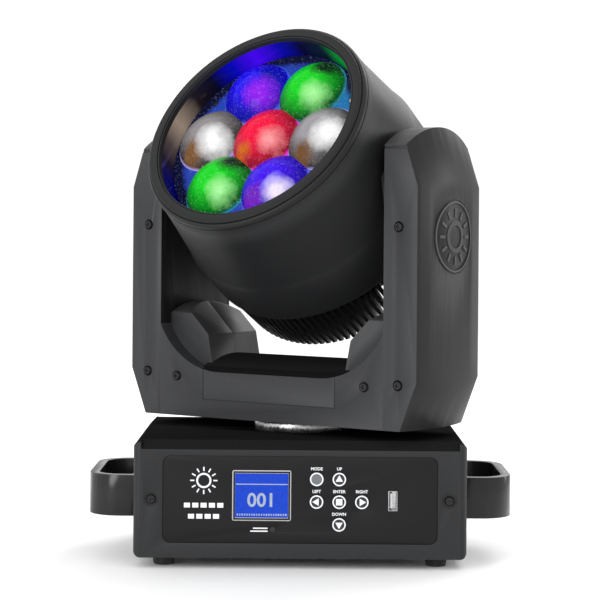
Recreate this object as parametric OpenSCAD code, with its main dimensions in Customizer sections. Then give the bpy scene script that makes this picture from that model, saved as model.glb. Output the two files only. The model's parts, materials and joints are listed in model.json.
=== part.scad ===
// Moving head wash light: a base with display and keys, a panning yoke,
// and a tilting head with seven lenses and a motor-driven zoom.
// Origin: centre of the clamp hole pattern in the underside of the base.

/* [Base] */
// Width of the base housing
base_w = 241; // [220:1:300]
// Depth of the base housing, front to back
base_d = 180; // [170:1:220]
// Height of the base housing
base_h = 84.6; // [72:0.2:110]
// Wall thickness of the base housing
base_wall = 2.5; // [2:0.1:3.5]
// Chamfer along the front and rear top edges of the base
base_chamfer = 6.5; // [3:0.5:10]
// Height of each rubber foot below the base
foot_h = 7.4; // [4:0.2:12]
// Radius of a rubber foot
foot_r = 8.5; // [6:0.1:10]
// Reach of a side handle beyond the base
handle_reach = 36; // [30:1:50]
// Height of a handle's band
handle_h = 30; // [20:1:36]
// Thickness of a handle's band
handle_t = 7; // [5:0.5:10]
// Radius of the base's clamp holes
clamp_hole_r = 5.2; // [4:0.1:7]
// Distance between clamp holes across the base
clamp_pitch_x = 140; // [100:1:160]
// Distance between clamp holes along the base
clamp_pitch_y = 106; // [80:1:120]

/* [Control panel] */
// Width of the front and rear panels
panel_w = 198; // [192:1:200]
// Height of the front and rear panels
panel_h = 62.5; // [60:0.5:64]
// Thickness of the front and rear panels
panel_t = 1.5; // [1:0.1:2]
// Radius of a push button's cap
button_r = 4.9; // [4:0.1:5.5]
// Distance between neighbouring buttons
button_pitch = 16.3; // [15:0.1:18]
// Travel of a push button
button_travel = 0.8; // [0.4:0.1:1]
// Width of the display's frame
lcd_w = 42.5; // [38:0.5:46]
// Height of the display's frame
lcd_h = 36.5; // [32:0.5:40]

/* [Yoke] */
// Gap between the base and the yoke
yoke_gap = 8.5; // [4:0.5:12]
// Height of the yoke's bridge at its front edge
bridge_h = 34.8; // [34:0.2:44]
// Rise of the bridge's rounded back above its edges
hump_rise = 12.7; // [10:0.1:16]
// Half the depth of the yoke, front to back
arm_half = 45; // [42:0.5:54]
// Width of an arm's front face
arm_w = 28; // [27:0.5:36]
// Bulge of an arm's outer side at its middle
arm_bulge = 5; // [3:0.5:8]
// Height of an arm above the tilt axis
arm_rise = 42; // [36:0.5:52]
// Wall thickness of the yoke's covers
yoke_wall = 2.5; // [2:0.1:3]
// Radius of the hollow pan post
post_r = 22; // [18:0.5:26]
// Radius of the tilt trunnions
trunnion_r = 14; // [11:0.5:16]

/* [Head] */
// Radius of the head's casing at its widest
head_r = 101; // [96:1:122]
// Distance of the casing's flat sides from the head's axis
head_flat = 94; // [90:1:114]
// Distance from the tilt axis to the front lip
front_len = 80; // [68:1:95]
// Distance from the tilt axis to the rear end of the fins
rear_len = 78; // [72:1:100]
// Radius of the window inside the front ring
window_r = 80.5; // [78:0.5:86]
// Number of cooling fins
fin_count = 108; // [60:6:120]
// Distance between neighbouring lenses
lens_pitch = 50; // [40:1:51]
// Radius of curvature of a lens
lens_curve = 31; // [28:1:40]
// Depth of the lenses behind the front lip
lens_recess = 6; // [5:0.5:22]

/* [Motion] */
// Pan angle of the yoke as posed
pan_rest = -34; // [-180:1:180]
// Elevation of the beam as posed
tilt_rest = 34; // [-45:1:90]
// Forward travel of the zoom from its posed place
zoom_out = 3; // [1:1:6]
// Backward travel of the zoom from its posed place
zoom_in = 20; // [8:1:24]
// Teeth on the pan and tilt gears
gear_teeth = 90; // [80:1:94]
// Teeth on each motor pulley
pulley_teeth = 18; // [16:1:20]

/* [Fits] */
// Radial clearance of a shaft that turns in its bearing
run_gap = 0.05; // [0.02:0.01:0.1]
// Gap between parts that move past each other
move_gap = 1.5; // [1:0.1:3]
// Gap around a part that is seated in a pocket
seat_gap = 0.2; // [0.1:0.05:0.4]
// Clearance between the turning head and the bridge
head_clear = 6.3; // [4:0.1:12]

/* [Hidden] */
$fn = 64;

charcoal = [0.16, 0.16, 0.17];
satin_black = [0.07, 0.07, 0.08];
steel = [0.62, 0.63, 0.65];
board_green = [0.05, 0.3, 0.16];

// Base levels
cut = 1;                                   // overrun of a cut past a face
lip = 12;                                  // inward lip under the base
plate_t = 4;                               // bottom plate with its step
panel_recess = 0.5;
cap_t = 5.6;                               // width of the base's end caps
front_y = -base_d / 2;
panel_z = 0.5 * base_h;                    // mid height of both panels
panel_y = front_y + panel_recess;          // front face of the front panel
panel_r = 5.8;
key_x = 0.142 * panel_w;                   // middle of the key cross
lcd_x = -0.14 * panel_w;
usb_x = 0.337 * panel_w;
lamp_x = -0.1 * panel_w;
lamp_z = panel_z - 21.5;
screw_head_r = 3.6;

// Pan stack, from the base upwards
collar_r = 35;
collar_h = yoke_gap - 0.5;
yoke_z = base_h + yoke_gap;
frame_z = yoke_z + yoke_wall + 0.4;
frame_t = 2.5;
bearing_h = 10;
belt_w = 8;
gear_z = frame_z + bearing_h + 2;
gear_h = belt_w + 2;
tooth_pitch = 2;
gear_r = gear_teeth * tooth_pitch / (2 * PI);
pulley_r = pulley_teeth * tooth_pitch / (2 * PI);
belt_gap = 0.4;
belt_t = 1.4;

// Yoke outline
boss_h = 5.5;                              // side fairing's height
arm_in = head_flat + boss_h + move_gap;    // inner face of each arm
arm_out = arm_in + arm_w;                  // front edge of the outer side
bridge_top = yoke_z + bridge_h;
head_sweep = sqrt(pow(rear_len, 2) + pow(head_r - 5, 2));
tilt_z = bridge_top + hump_rise + head_sweep + head_clear;
arm_top = tilt_z + arm_rise;
side_arc = (pow(arm_half, 2) + pow(arm_bulge, 2)) / (2 * arm_bulge);
arch_drop = 14.3;                          // fall of an arm's top to its edges
arch_r = (pow(arm_half, 2) + pow(arch_drop, 2)) / (2 * arch_drop);
hump_r = (pow(arm_half, 2) + pow(hump_rise, 2)) / (2 * hump_rise);
hump_sink = 0.5;                           // keeps a narrow flat along the edge
upper_lean = 18.6;
lower_lean = 21.3;
lean_r = 150;
notch_r = 61.4;                            // corner arcs of the yoke's opening
notch_x = 0.45 * arm_in;
block_in = arm_in - 37;                    // inner wall of a motor housing
block_half = arm_half - 13;
block_top = bridge_top + 51.7;
block_arch = 65;
frame_in = arm_in + 3;                     // inner face of a frame upright
drive_x = frame_in + 8;                    // start of the tilt belt
pan_motor_w = 35.2;
pan_motor_x = frame_in - 0.4 - pan_motor_w / 2;
tilt_motor_w = 42;
tilt_motor_z = bridge_top + 5;
screw_x = arm_in + 12.5;

// Head outline, along the beam axis from the tilt axis
rim_a = front_len - 5;                     // plane of the outer rim
waist_a = 8;
shell_rear = -33;
rim_r = head_r - 10;
shell_t = 2.5;
barrel_t = 2;
lens_a = front_len - lens_recess;          // highest point of the lenses
lens_plate_t = 3;
lens_plate_a = lens_a - 18;                // back of the lens plate
carrier_t = 4;
board_a = lens_plate_a - carrier_t - zoom_in - 46;  // front of the LED board
sink_a = board_a - 2;
fin_root = 58;
fan_r = 55;
rod_circle = lens_pitch * 1.44;            // guide rods and screw, off axis

// ---------------------------------------------------------------- helpers

module round_rect(w, h, r) {
    square([w - 2 * r, h], center = true);
    square([w, h - 2 * r], center = true);
    for (x = [-1, 1], y = [-1, 1])
        translate([x * (w / 2 - r), y * (h / 2 - r)]) circle(r);
}

// Sweeps an outline in X and Z from y0 to y1
module along_y(y0, y1) {
    translate([0, y1, 0]) rotate([90, 0, 0]) linear_extrude(y1 - y0) children();
}

// Sweeps an outline in Y and Z from x0 to x1
module along_x(x0, x1) {
    translate([x0, 0, 0]) rotate([90, 0, 90]) linear_extrude(x1 - x0) children();
}

module on_yoke() {
    rotate([0, 0, pan_rest]) children();
}

module on_head() {
    on_yoke() translate([0, 0, tilt_z]) rotate([90 - tilt_rest, 0, 0]) children();
}

// A pan-head screw that points down -Z, with its head's underside at z = 0
module screw(head_r, shank_r, length) {
    difference() {
        union() {
            cylinder(r1 = head_r, r2 = head_r * 0.75, h = head_r * 0.5);
            translate([0, 0, -length]) cylinder(r = shank_r, h = length + 0.01);
        }
        for (a = [0, 90]) rotate([0, 0, a])
            translate([0, 0, head_r * 0.5]) cube([head_r, head_r * 0.25, head_r * 0.6], center = true);
    }
}

module tooth_ring(teeth, height, bore) {
    outer = teeth * tooth_pitch / (2 * PI);
    step = 360 / teeth;
    tip = outer;
    foot = outer - 0.8;
    difference() {
        linear_extrude(height) polygon([
            for (i = [0 : teeth - 1], k = [0 : 3])
                let (a = step * (i + [0, 0.3, 0.5, 0.8][k]), r = k < 2 ? tip : foot)
                [r * cos(a), r * sin(a)]
        ]);
        translate([0, 0, -cut]) cylinder(r = bore, h = height + 2 * cut);
    }
}

// A flanged, toothed wheel for the belt
module belt_wheel(teeth, bore) {
    outer = teeth * tooth_pitch / (2 * PI);
    translate([0, 0, 1]) tooth_ring(teeth, belt_w, bore);
    for (z = [0, 1 + belt_w]) translate([0, 0, z]) difference() {
        cylinder(r = outer + 1, h = 1);
        translate([0, 0, -cut]) cylinder(r = bore, h = 1 + 2 * cut);
    }
}

// Outline of a belt's outer or inner side around two wheels a distance apart
module belt_outline(big, small, span) {
    lean = acos((big - small) / span);
    circle(big);
    translate([span, 0]) circle(small);
    polygon([
        [big * cos(lean), big * sin(lean)],
        [span + small * cos(lean), small * sin(lean)],
        [span + small * cos(lean), -small * sin(lean)],
        [big * cos(lean), -big * sin(lean)]
    ]);
}

module belt(big, small, span) {
    linear_extrude(belt_w - 1) difference() {
        belt_outline(big + belt_gap + belt_t, small + belt_gap + belt_t, span);
        belt_outline(big + belt_gap, small + belt_gap, span);
    }
}

module stepper(size, length, shaft_r, shaft_l) {
    linear_extrude(length) round_rect(size, size, size * 0.1);
    translate([0, 0, length]) cylinder(r = size * 0.26, h = 1.6);
    translate([0, 0, length]) cylinder(r = shaft_r, h = shaft_l);
    translate([-size * 0.2, -size / 2 - 4, 2]) cube([size * 0.4, 5, 8]);
}

// ------------------------------------------------------------------- base

module base_profile(inset) {
    w = base_w / 2 - inset;
    top = base_h - inset;
    r = inset > 0 ? 2 : 5;
    c = base_chamfer * 0.7;
    polygon([
        [-w, inset + r], [-w, top - c], [-w + c, top], [w - c, top], [w, top - c],
        [w, inset + r], [w - r, inset], [-w + r, inset]
    ]);
    for (s = [-1, 1]) translate([s * (w - r), inset + r]) circle(r);
}

// Plan of the base, with small front corners and larger rear corners
module base_plan(inset) {
    w = base_w / 2 - inset;
    d = base_d / 2 - inset;
    f = 6 - inset;
    b = 16 - inset;
    translate([-w + f, -d]) square([2 * (w - f), d]);
    translate([-w + b, -d / 2]) square([2 * (w - b), 1.5 * d]);
    translate([-w, -d + f]) square([2 * w, 2 * d - f - b]);
    for (s = [-1, 1]) {
        translate([s * (w - f), -d + f]) circle(f);
        translate([s * (w - b), d - b]) circle(b);
    }
}

module base_form(inset) {
    d = base_d / 2 - inset;
    top = base_h - inset;
    c = base_chamfer;
    r = 4;
    intersection() {
        along_y(-d, d) base_profile(inset);
        union() {
            along_x(-base_w, base_w) polygon([
                [-d, 0], [-d, top - c], [-d + c, top], [d - c, top], [d, top - c], [d, 0]
            ]);
            // end caps, where the chamfer stops
            if (inset == 0) for (s = [0, 1]) mirror([s, 0, 0]) along_x(base_w / 2 - cap_t, base_w) {
                translate([-d, 0]) square([2 * d, top - r]);
                translate([-d + r, 0]) square([2 * (d - r), top]);
                for (y = [-1, 1]) translate([y * (d - r), top - r]) circle(r);
            }
        }
        linear_extrude(base_h) base_plan(inset);
    }
}

module panel_pocket(grow, depth) {
    along_y(0, depth) translate([0, panel_z]) round_rect(panel_w + grow, panel_h + grow, panel_r);
}

module base_shell() {
    color(charcoal) difference() {
        base_form(0);
        base_form(base_wall);
        translate([0, 0, -cut]) linear_extrude(base_wall + 2 * cut)
            square([base_w - 2 * lip, base_d - 2 * lip], center = true);
        for (s = [0, 180]) rotate([0, 0, s]) {
            translate([0, front_y - cut, 0]) panel_pocket(2 * seat_gap, cut + panel_recess + panel_t);
            translate([0, front_y - cut, 0]) panel_pocket(-6, base_wall + 2 * cut);
        }
        translate([0, 0, base_h - base_wall - cut])
            cylinder(r = post_r + seat_gap, h = base_wall + 2 * cut);
        // panel line across the top
        translate([-base_w, 1.5, base_h - 0.5]) cube([2 * base_w, 0.6, 1]);
        for (s = [-1, 1]) translate([s * (base_w / 2 - 13), front_y - cut, panel_z]) rotate([-90, 0, 0]) {
            cylinder(r = 1.6, h = base_wall + 2 * cut);
            cylinder(r = screw_head_r + 1.6, h = cut + 0.6);
        }
        for (s = [-1, 1], y = [-22, 22]) translate([s * base_w / 2, y, panel_z - 12])
            rotate([0, 90, 0]) cylinder(r = 1.6, h = 4 * base_wall, center = true);
        for (s = [-1, 1], y = [-50, 36]) translate([s * base_w / 2, y, panel_z - 1.5])
            rotate([0, 90, 0]) cylinder(r = 2.1, h = 4 * base_wall, center = true);
    }
}

module bottom_plate() {
    w = base_w - 2 * lip;
    d = base_d - 2 * lip;
    color(satin_black) difference() {
        union() {
            translate([-w / 2 + seat_gap, -d / 2 + seat_gap, 0])
                cube([w - 2 * seat_gap, d - 2 * seat_gap, base_wall]);
            translate([0, 0, base_wall]) linear_extrude(plate_t - base_wall)
                round_rect(w + lip, d + lip, 10);
        }
        for (x = [-1, 1], y = [-1, 1]) {
            translate([x * clamp_pitch_x / 2, y * clamp_pitch_y / 2, -cut])
                cylinder(r = clamp_hole_r, h = plate_t + 2 * cut);
            translate([x * foot_x, y * foot_y, -cut]) cylinder(r = 2, h = plate_t + 2 * cut);
        }
        translate([0, clamp_pitch_y / 2 - 6, -cut]) cylinder(r = 7, h = plate_t + 2 * cut);
        for (i = [-4 : 4]) translate([i * 9 - 2, -52, -cut]) cube([4, 30, plate_t + 2 * cut]);
    }
}

foot_x = base_w / 2 - lip - foot_r - 0.6;
foot_y = base_d / 2 - lip - foot_r - 0.6;

module rubber_feet() {
    color([0.05, 0.05, 0.05]) for (x = [-1, 1], y = [-1, 1]) translate([x * foot_x, y * foot_y, 0]) {
        translate([0, 0, -foot_h]) cylinder(r1 = foot_r * 0.86, r2 = foot_r, h = foot_h);
        cylinder(r = 2 - seat_gap / 2, h = plate_t);
        translate([0, 0, plate_t]) cylinder(r = 3.4, h = 1.6);
    }
}

module handles() {
    z = panel_z - 1.5 - handle_h / 2;
    color(satin_black) for (s = [0, 1]) mirror([s, 0, 0]) difference() {
        union() {
            intersection() {
                translate([0, 0, z]) linear_extrude(handle_h) difference() {
                    handle_band(0);
                    handle_band(handle_t);
                }
                translate([base_w / 2, -base_d, 0]) cube([2 * handle_reach, 2 * base_d, base_h]);
            }
            for (y = [-50, 36]) translate([base_w / 2, y - 10, z]) cube([3, 20, handle_h]);
        }
        for (y = [-50, 36]) translate([base_w / 2 - cut, y, panel_z - 1.5])
            rotate([0, 90, 0]) cylinder(r = 2.1, h = 3 + 2 * cut);
    }
}

// Plan outline of a handle, moved inwards by inset
module handle_band(inset) {
    y0 = -62 + inset;
    y1 = 48 - inset;
    x1 = base_w / 2 + handle_reach - inset;
    r = 24 - inset;
    x0 = base_w / 2 - cut;
    translate([x0, y0]) square([x1 - r - x0, y1 - y0]);
    translate([x0, y0 + r]) square([x1 - x0, y1 - y0 - 2 * r]);
    for (y = [y0 + r, y1 - r]) translate([x1 - r, y]) circle(r);
}

module key_place(i, j) {
    translate([key_x + i * button_pitch, panel_y, panel_z - 1.3 + j * button_pitch])
        rotate([-90, 0, 0]) children();
}

module front_panel() {
    color(satin_black) difference() {
        translate([0, panel_y, 0]) along_y(0, panel_t)
            translate([0, panel_z]) round_rect(panel_w, panel_h, panel_r);
        for (k = KEYS) key_place(k[0], k[1]) translate([0, 0, -cut])
            cylinder(r = button_r + 0.35, h = panel_t + 2 * cut);
        translate([lcd_x, panel_y, panel_z + 3]) cube([lcd_w - 4, 10, lcd_h - 4], center = true);
        translate([usb_x, panel_y, panel_z - 0.3]) cube([7, 10, 14.8], center = true);
        translate([lamp_x, panel_y - cut, lamp_z]) rotate([-90, 0, 0])
            cylinder(r = 2.2, h = panel_t + 2 * cut);
    }
}

KEYS = [[-1, 1], [0, 1], [0, -1], [-1, 0], [1, 0], [0, 0]];

module rear_panel() {
    color(satin_black) difference() {
        rotate([0, 0, 180]) translate([0, panel_y, 0]) along_y(0, panel_t)
            translate([0, panel_z]) round_rect(panel_w, panel_h, panel_r);
        for (x = SOCKETS) translate([x, base_d / 2, panel_z]) rotate([90, 0, 0])
            cylinder(r = 11.9, h = 20, center = true);
    }
}

SOCKETS = [-66, -22, 22, 66];

// A round panel socket with a square flange, facing the rear
module socket_body(x) {
    translate([x, base_d / 2 - panel_recess, panel_z]) rotate([-90, 0, 0]) {
        linear_extrude(2) round_rect(26, 31, 2);
        translate([0, 0, -26]) cylinder(r = 11.6, h = 26.5);
    }
}

module socket_cut(x, r, depth) {
    translate([x, base_d / 2 - panel_recess + 2 + cut, panel_z]) rotate([90, 0, 0])
        cylinder(r = r, h = depth + cut);
}

module dmx_input() {
    color(steel) {
        difference() {
            socket_body(SOCKETS[3]);
            socket_cut(SOCKETS[3], 8.6, 14);
        }
        for (a = [30, 150, 270]) translate([
            SOCKETS[3] + 4.2 * cos(a), base_d / 2 - panel_recess - 12.5, panel_z + 4.2 * sin(a)
        ]) rotate([-90, 0, 0]) cylinder(r = 1.1, h = 6.5);
    }
}

module dmx_output() {
    color(steel) difference() {
        socket_body(SOCKETS[2]);
        socket_cut(SOCKETS[2], 9.8, 4);
        for (a = [30, 150, 270]) translate([4.2 * cos(a), 0, 4.2 * sin(a)]) socket_cut(SOCKETS[2], 1.3, 12);
    }
}

module power_inlet() {
    color([0.1, 0.25, 0.55]) {
        difference() {
            socket_body(SOCKETS[0]);
            socket_cut(SOCKETS[0], 9.8, 15);
        }
        translate([SOCKETS[0], base_d / 2 - panel_recess - 14, panel_z]) rotate([-90, 0, 0])
            cylinder(r = 5, h = 7);
    }
}

module power_outlet() {
    color([0.7, 0.7, 0.72]) {
        difference() {
            socket_body(SOCKETS[1]);
            socket_cut(SOCKETS[1], 9.8, 15);
        }
        translate([SOCKETS[1], base_d / 2 - panel_recess - 14, panel_z]) rotate([-90, 0, 0])
            cylinder(r = 5, h = 7);
    }
}

module lcd_bezel() {
    translate([lcd_x, panel_y, panel_z + 3]) color([0.82, 0.83, 0.85]) difference() {
        along_y(-0.9, 0) round_rect(lcd_w, lcd_h, 1.5);
        along_y(-2, 2) square([lcd_w - 4.3, lcd_h - 4.8], center = true);
    }
}

module lcd_display() {
    translate([lcd_x, panel_y, panel_z + 3]) color([0.1, 0.25, 0.8]) {
        along_y(0.2, 3.4) square([lcd_w - 4.6, lcd_h - 5.1], center = true);
        along_y(3.4, 5) square([lcd_w + 2, lcd_h + 2], center = true);
    }
}

module usb_port() {
    translate([usb_x, panel_y, panel_z - 0.3]) color(steel) {
        difference() {
            along_y(-0.4, 12) square([6.6, 14.4], center = true);
            along_y(-1, 10.5) square([5.6, 13.4], center = true);
        }
        along_y(1.2, 11) translate([-0.9, 0]) square([1.8, 11], center = true);
        along_y(panel_t, panel_t + 1) difference() {
            square([9.6, 18], center = true);
            square([6.6, 14.4], center = true);
        }
    }
}

module indicator_lens() {
    color([0.9, 0.9, 0.92]) translate([lamp_x, panel_y, lamp_z]) rotate([-90, 0, 0]) {
        translate([0, 0, -0.3]) cylinder(r = 2, h = 5);
        translate([0, 0, panel_t]) cylinder(r = 3, h = 1);
    }
}

module button(i, j) {
    back = panel_t + 0.3 + button_travel / 4;
    color([0.85, 0.86, 0.88]) key_place(i, j) {
        translate([0, 0, -0.7]) cylinder(r = button_r, h = back + 0.7);
        translate([0, 0, back]) cylinder(r = button_r + 1.3, h = 1);
        translate([0, 0, back]) cylinder(r = 1.8, h = 4);
    }
}

module mode_button() { button(-1, 1); }
module up_button() { button(0, 1); }
module down_button() { button(0, -1); }
module left_button() { button(-1, 0); }
module right_button() { button(1, 0); }
module enter_button() { button(0, 0); }

module control_board() {
    y = panel_y + panel_t + 9;
    color(board_green) {
        translate([-56, y, panel_z - 26]) cube([112, 1.6, 52]);
        for (k = KEYS) key_place(k[0], k[1]) translate([0, 0, y - panel_y - 2.4])
            linear_extrude(2.4) square(6, center = true);
        translate([lcd_x - 12, y + 1.6, panel_z - 8]) cube([24, 3, 16]);
    }
}

module main_board() {
    z = plate_t + 6;
    color(board_green) {
        translate([-base_w / 2 + 16, -56, z]) cube([60, 100, 1.6]);
        for (y = [-46, -20, 8]) translate([-base_w / 2 + 24, y, z + 1.6]) cube([16, 16, 4]);
        for (y = [-44, -30, -16, 2]) translate([-base_w / 2 + 62, y, z + 1.6]) cylinder(r = 4.5, h = 12);
        for (x = [20, 72], y = [-52, 40]) translate([-base_w / 2 + x, y, plate_t]) cylinder(r = 3, h = 6);
    }
}

module power_supply() {
    color([0.75, 0.76, 0.78]) difference() {
        translate([-32, -52, plate_t]) cube([base_w / 2 + 14, 104, 40]);
        for (i = [0 : 10]) translate([-24 + i * 11, -53, plate_t + 8]) cube([5, 6, 24]);
    }
}

module base_screws() {
    color([0.1, 0.1, 0.1]) for (s = [-1, 1]) {
        translate([s * (base_w / 2 - 13), front_y + 0.6, panel_z]) rotate([90, 0, 0])
            screw(screw_head_r, 1.5, base_wall + 4);
        for (y = [-22, 22]) translate([s * base_w / 2, y, panel_z - 12]) rotate([0, s * 90, 0])
            screw(2.6, 1.5, base_wall + 4);
        for (y = [-50, 36]) translate([s * (base_w / 2 + 3), y, panel_z - 1.5]) rotate([0, s * 90, 0])
            screw(3.4, 2, base_wall + 8);
    }
}

// ------------------------------------------------------------- pan stack

module pan_collar() {
    color([0.9, 0.9, 0.92]) translate([0, 0, base_h]) difference() {
        union() {
            cylinder(r = collar_r, h = collar_h - 1);
            cylinder(r = collar_r - 2, h = collar_h);
        }
        translate([0, 0, -cut]) cylinder(r = post_r, h = collar_h + 2 * cut);
    }
}

module pan_post() {
    flange_z = base_h - base_wall;
    color(steel) difference() {
        union() {
            translate([0, 0, flange_z - 5]) cylinder(r = post_r + 20, h = 5);
            translate([0, 0, flange_z - 5]) cylinder(r = post_r, h = gear_z + gear_h + 2 - flange_z + 5);
        }
        translate([0, 0, flange_z - 5 - cut]) cylinder(r = post_r - 6, h = 200);
        for (a = [45 : 90 : 315]) rotate([0, 0, a]) translate([post_r + 13, 0, flange_z - 5 - cut])
            cylinder(r = 2.2, h = 5 + 2 * cut);
    }
}

module pan_gear() {
    color([0.75, 0.75, 0.7]) translate([0, 0, gear_z]) belt_wheel(gear_teeth, post_r);
}

// ------------------------------------------------------------------- yoke

// Opening between the arms, seen from the front, grown by a wall
module opening_profile(grow) {
    centre = bridge_top + notch_r;
    translate([-notch_x, bridge_top - grow]) square([2 * notch_x, 2 * head_r]);
    for (s = [-1, 1]) translate([s * notch_x, centre]) circle(notch_r + grow);
    translate([-arm_in - 9, centre]) square([2 * arm_in + 18, 2 * head_r]);
}

module bridge_form(inset) {
    reach = arm_in + (inset > 0 ? 6 : 0);
    half = arm_half - inset;
    floor_z = yoke_z + inset;
    along_y(-half, half) difference() {
        translate([-reach, floor_z]) square([2 * reach, block_top - floor_z]);
        opening_profile(inset);
    }
    along_x(-block_in - 1, block_in + 1) intersection() {
        translate([0, bridge_top + hump_rise - hump_sink - hump_r]) circle(hump_r - inset);
        translate([-half, floor_z]) square([2 * half, 2 * hump_r]);
    }
    intersection() {
        along_x(-reach, reach) union() {
            translate([0, block_top - block_arch]) circle(block_arch - inset);
            translate([-half, floor_z]) square([2 * half, 30]);
        }
        for (s = [0, 1]) mirror([s, 0, 0]) along_y(-block_half + inset, block_half - inset) polygon([
            [block_in - 6 + inset, bridge_top - 8],
            [block_in + 1 + inset, block_top - 24 - 0.3 * inset],
            [block_in + 25 + 0.414 * inset, block_top - inset],
            [reach, block_top - inset],
            [reach, bridge_top - 8]
        ]);
    }
}

module bridge_shell() {
    difference() {
        bridge_form(0);
        bridge_form(yoke_wall);
        translate([0, 0, yoke_z - cut]) cylinder(r = post_r + 12, h = yoke_wall + 2 * cut);
        // panel line on the front and rear
        for (s = [0, 180]) rotate([0, 0, s]) translate([0, -arm_half, 0]) along_y(-cut, 0.5) difference() {
            translate([-60, bridge_top - 21.4]) square([120, 40]);
            translate([-59.4, bridge_top - 20.8]) square([118.8, 40]);
        }
        for (x = [-1, 1], s = [0, 180]) rotate([0, 0, s])
            translate([x * (arm_in - 16), -arm_half - cut, bridge_top - 4.4]) rotate([-90, 0, 0]) {
                cylinder(r = 1.6, h = yoke_wall + 2 * cut);
                cylinder(r = screw_head_r + 0.4, h = cut + 0.7);
            }
    }
}

module bridge_front_cover() {
    color(charcoal) on_yoke() intersection() {
        bridge_shell();
        translate([-arm_out, -2 * arm_half, 0]) cube([2 * arm_out, 2 * arm_half, tilt_z]);
    }
}

module bridge_rear_cover() {
    color(charcoal) on_yoke() intersection() {
        bridge_shell();
        translate([-arm_out, 0, 0]) cube([2 * arm_out, 2 * arm_half, tilt_z]);
    }
}

// Solid outline of the right arm, moved inwards by inset
module arm_form(inset) {
    half = arm_half - inset;
    far = 2 * arm_w;
    intersection() {
        along_x(arm_in, arm_in + far) union() {
            translate([-half, yoke_z + inset]) square([2 * half, arm_top - arch_r - yoke_z - inset]);
            intersection() {
                translate([0, arm_top - arch_r]) circle(arch_r - inset);
                translate([-half, arm_top - arch_r - 1]) square([2 * half, arch_r + 2]);
            }
        }
        translate([arm_out + arm_bulge - side_arc, 0, 0]) cylinder(r = side_arc - inset, h = 2 * arm_top, $fn = 200);
        translate([arm_out + arm_bulge, 0, arm_top - 37]) rotate([0, -upper_lean, 0])
            translate([-lean_r, 0, -arm_top]) cylinder(r = lean_r - inset, h = 2 * arm_top, $fn = 160);
        translate([arm_out + arm_bulge, 0, yoke_z + 29]) rotate([0, lower_lean, 0])
            translate([-lean_r, 0, -arm_top]) cylinder(r = lean_r - inset, h = 2 * arm_top, $fn = 160);
    }
}

module arm_cover() {
    difference() {
        arm_form(0);
        translate([-cut, 0, 0]) arm_form(yoke_wall);
        arm_form(yoke_wall);
        // ring groove on the outer side
        difference() {
            translate([arm_out - 2, 0, tilt_z - 38]) rotate([0, 90, 0]) difference() {
                cylinder(r = 27.2, h = 20);
                translate([0, 0, -cut]) cylinder(r = 26.2, h = 20 + 2 * cut);
            }
            arm_form(0.5);
        }
        // shadow line under the arched top
        for (s = [-1, 1]) translate([arm_in - cut, s * arm_half - 0.6, arm_top - arch_drop - 2.8])
            cube([2 * arm_w, 1.2, 2.2]);
        for (s = [-1, 1], z = [yoke_z + 32.9, tilt_z - 31]) translate([screw_x, s * arm_half, z])
            rotate([s * 90, 0, 0]) {
                cylinder(r = 1.6, h = 3 * yoke_wall, center = true);
                translate([0, 0, -0.7]) cylinder(r = screw_head_r + 0.4, h = 3);
            }
    }
}

module arm_cover_right() {
    color(charcoal) on_yoke() arm_cover();
}

module arm_cover_left() {
    color(charcoal) on_yoke() mirror([1, 0, 0]) arm_cover();
}

module inner_covers() {
    color(charcoal) on_yoke() for (s = [0, 1]) mirror([s, 0, 0]) difference() {
        intersection() {
            arm_form(yoke_wall + seat_gap);
            translate([arm_in, -arm_half, yoke_z]) cube([2, 2 * arm_half, arm_top]);
        }
        bridge_form(yoke_wall);
        translate([arm_in, 0, tilt_z]) rotate([0, 90, 0])
            cylinder(r = trunnion_r + move_gap, h = 20, center = true);
    }
}

module yoke_frame() {
    up = tilt_z + 26 - frame_z;
    color([0.45, 0.46, 0.48]) on_yoke() difference() {
        union() {
            translate([-frame_in - frame_t, -30, frame_z]) cube([2 * (frame_in + frame_t), 60, frame_t]);
            for (s = [-1, 1]) {
                translate([s * (frame_in + frame_t / 2) - frame_t / 2, -30, frame_z]) cube([frame_t, 60, up]);
                translate([s * (frame_in + 3), 0, tilt_z]) rotate([0, 90, 0])
                    cylinder(r = trunnion_r + 10, h = 6, center = true);
            }
            translate([0, 0, frame_z]) cylinder(r = post_r + 15, h = bearing_h);
            translate([block_in + yoke_wall + 0.5, -20, gear_z + gear_h + 2])
                cube([frame_in - block_in - yoke_wall, 40, frame_t]);
        }
        translate([0, 0, frame_z - cut]) cylinder(r = post_r + 10, h = bearing_h + 2 * cut);
        for (s = [-1, 1]) translate([s * (frame_in + 3), 0, tilt_z]) rotate([0, 90, 0])
            cylinder(r = trunnion_r + 7, h = 20, center = true);
        translate([pan_motor_x, 0, gear_z + gear_h]) cylinder(r = pan_motor_w * 0.28, h = 10);
        translate([-frame_in, 0, tilt_motor_z]) rotate([0, 90, 0])
            cylinder(r = tilt_motor_w * 0.28, h = 20, center = true);
        translate([frame_in - 10, -18, yoke_z + 70]) cube([20, 36, 60]);
        translate([-frame_in - 10, -18, yoke_z + 80]) cube([20, 36, 50]);
    }
}

module yoke_bearings() {
    color(steel) on_yoke() {
        translate([0, 0, frame_z]) difference() {
            cylinder(r = post_r + 10, h = bearing_h);
            translate([0, 0, -cut]) cylinder(r = post_r + run_gap, h = bearing_h + 2 * cut);
        }
        for (s = [-1, 1]) translate([s * (frame_in + 3), 0, tilt_z]) rotate([0, 90, 0]) difference() {
            cylinder(r = trunnion_r + 7, h = 6, center = true);
            cylinder(r = trunnion_r + run_gap, h = 10, center = true);
        }
    }
}

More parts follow.
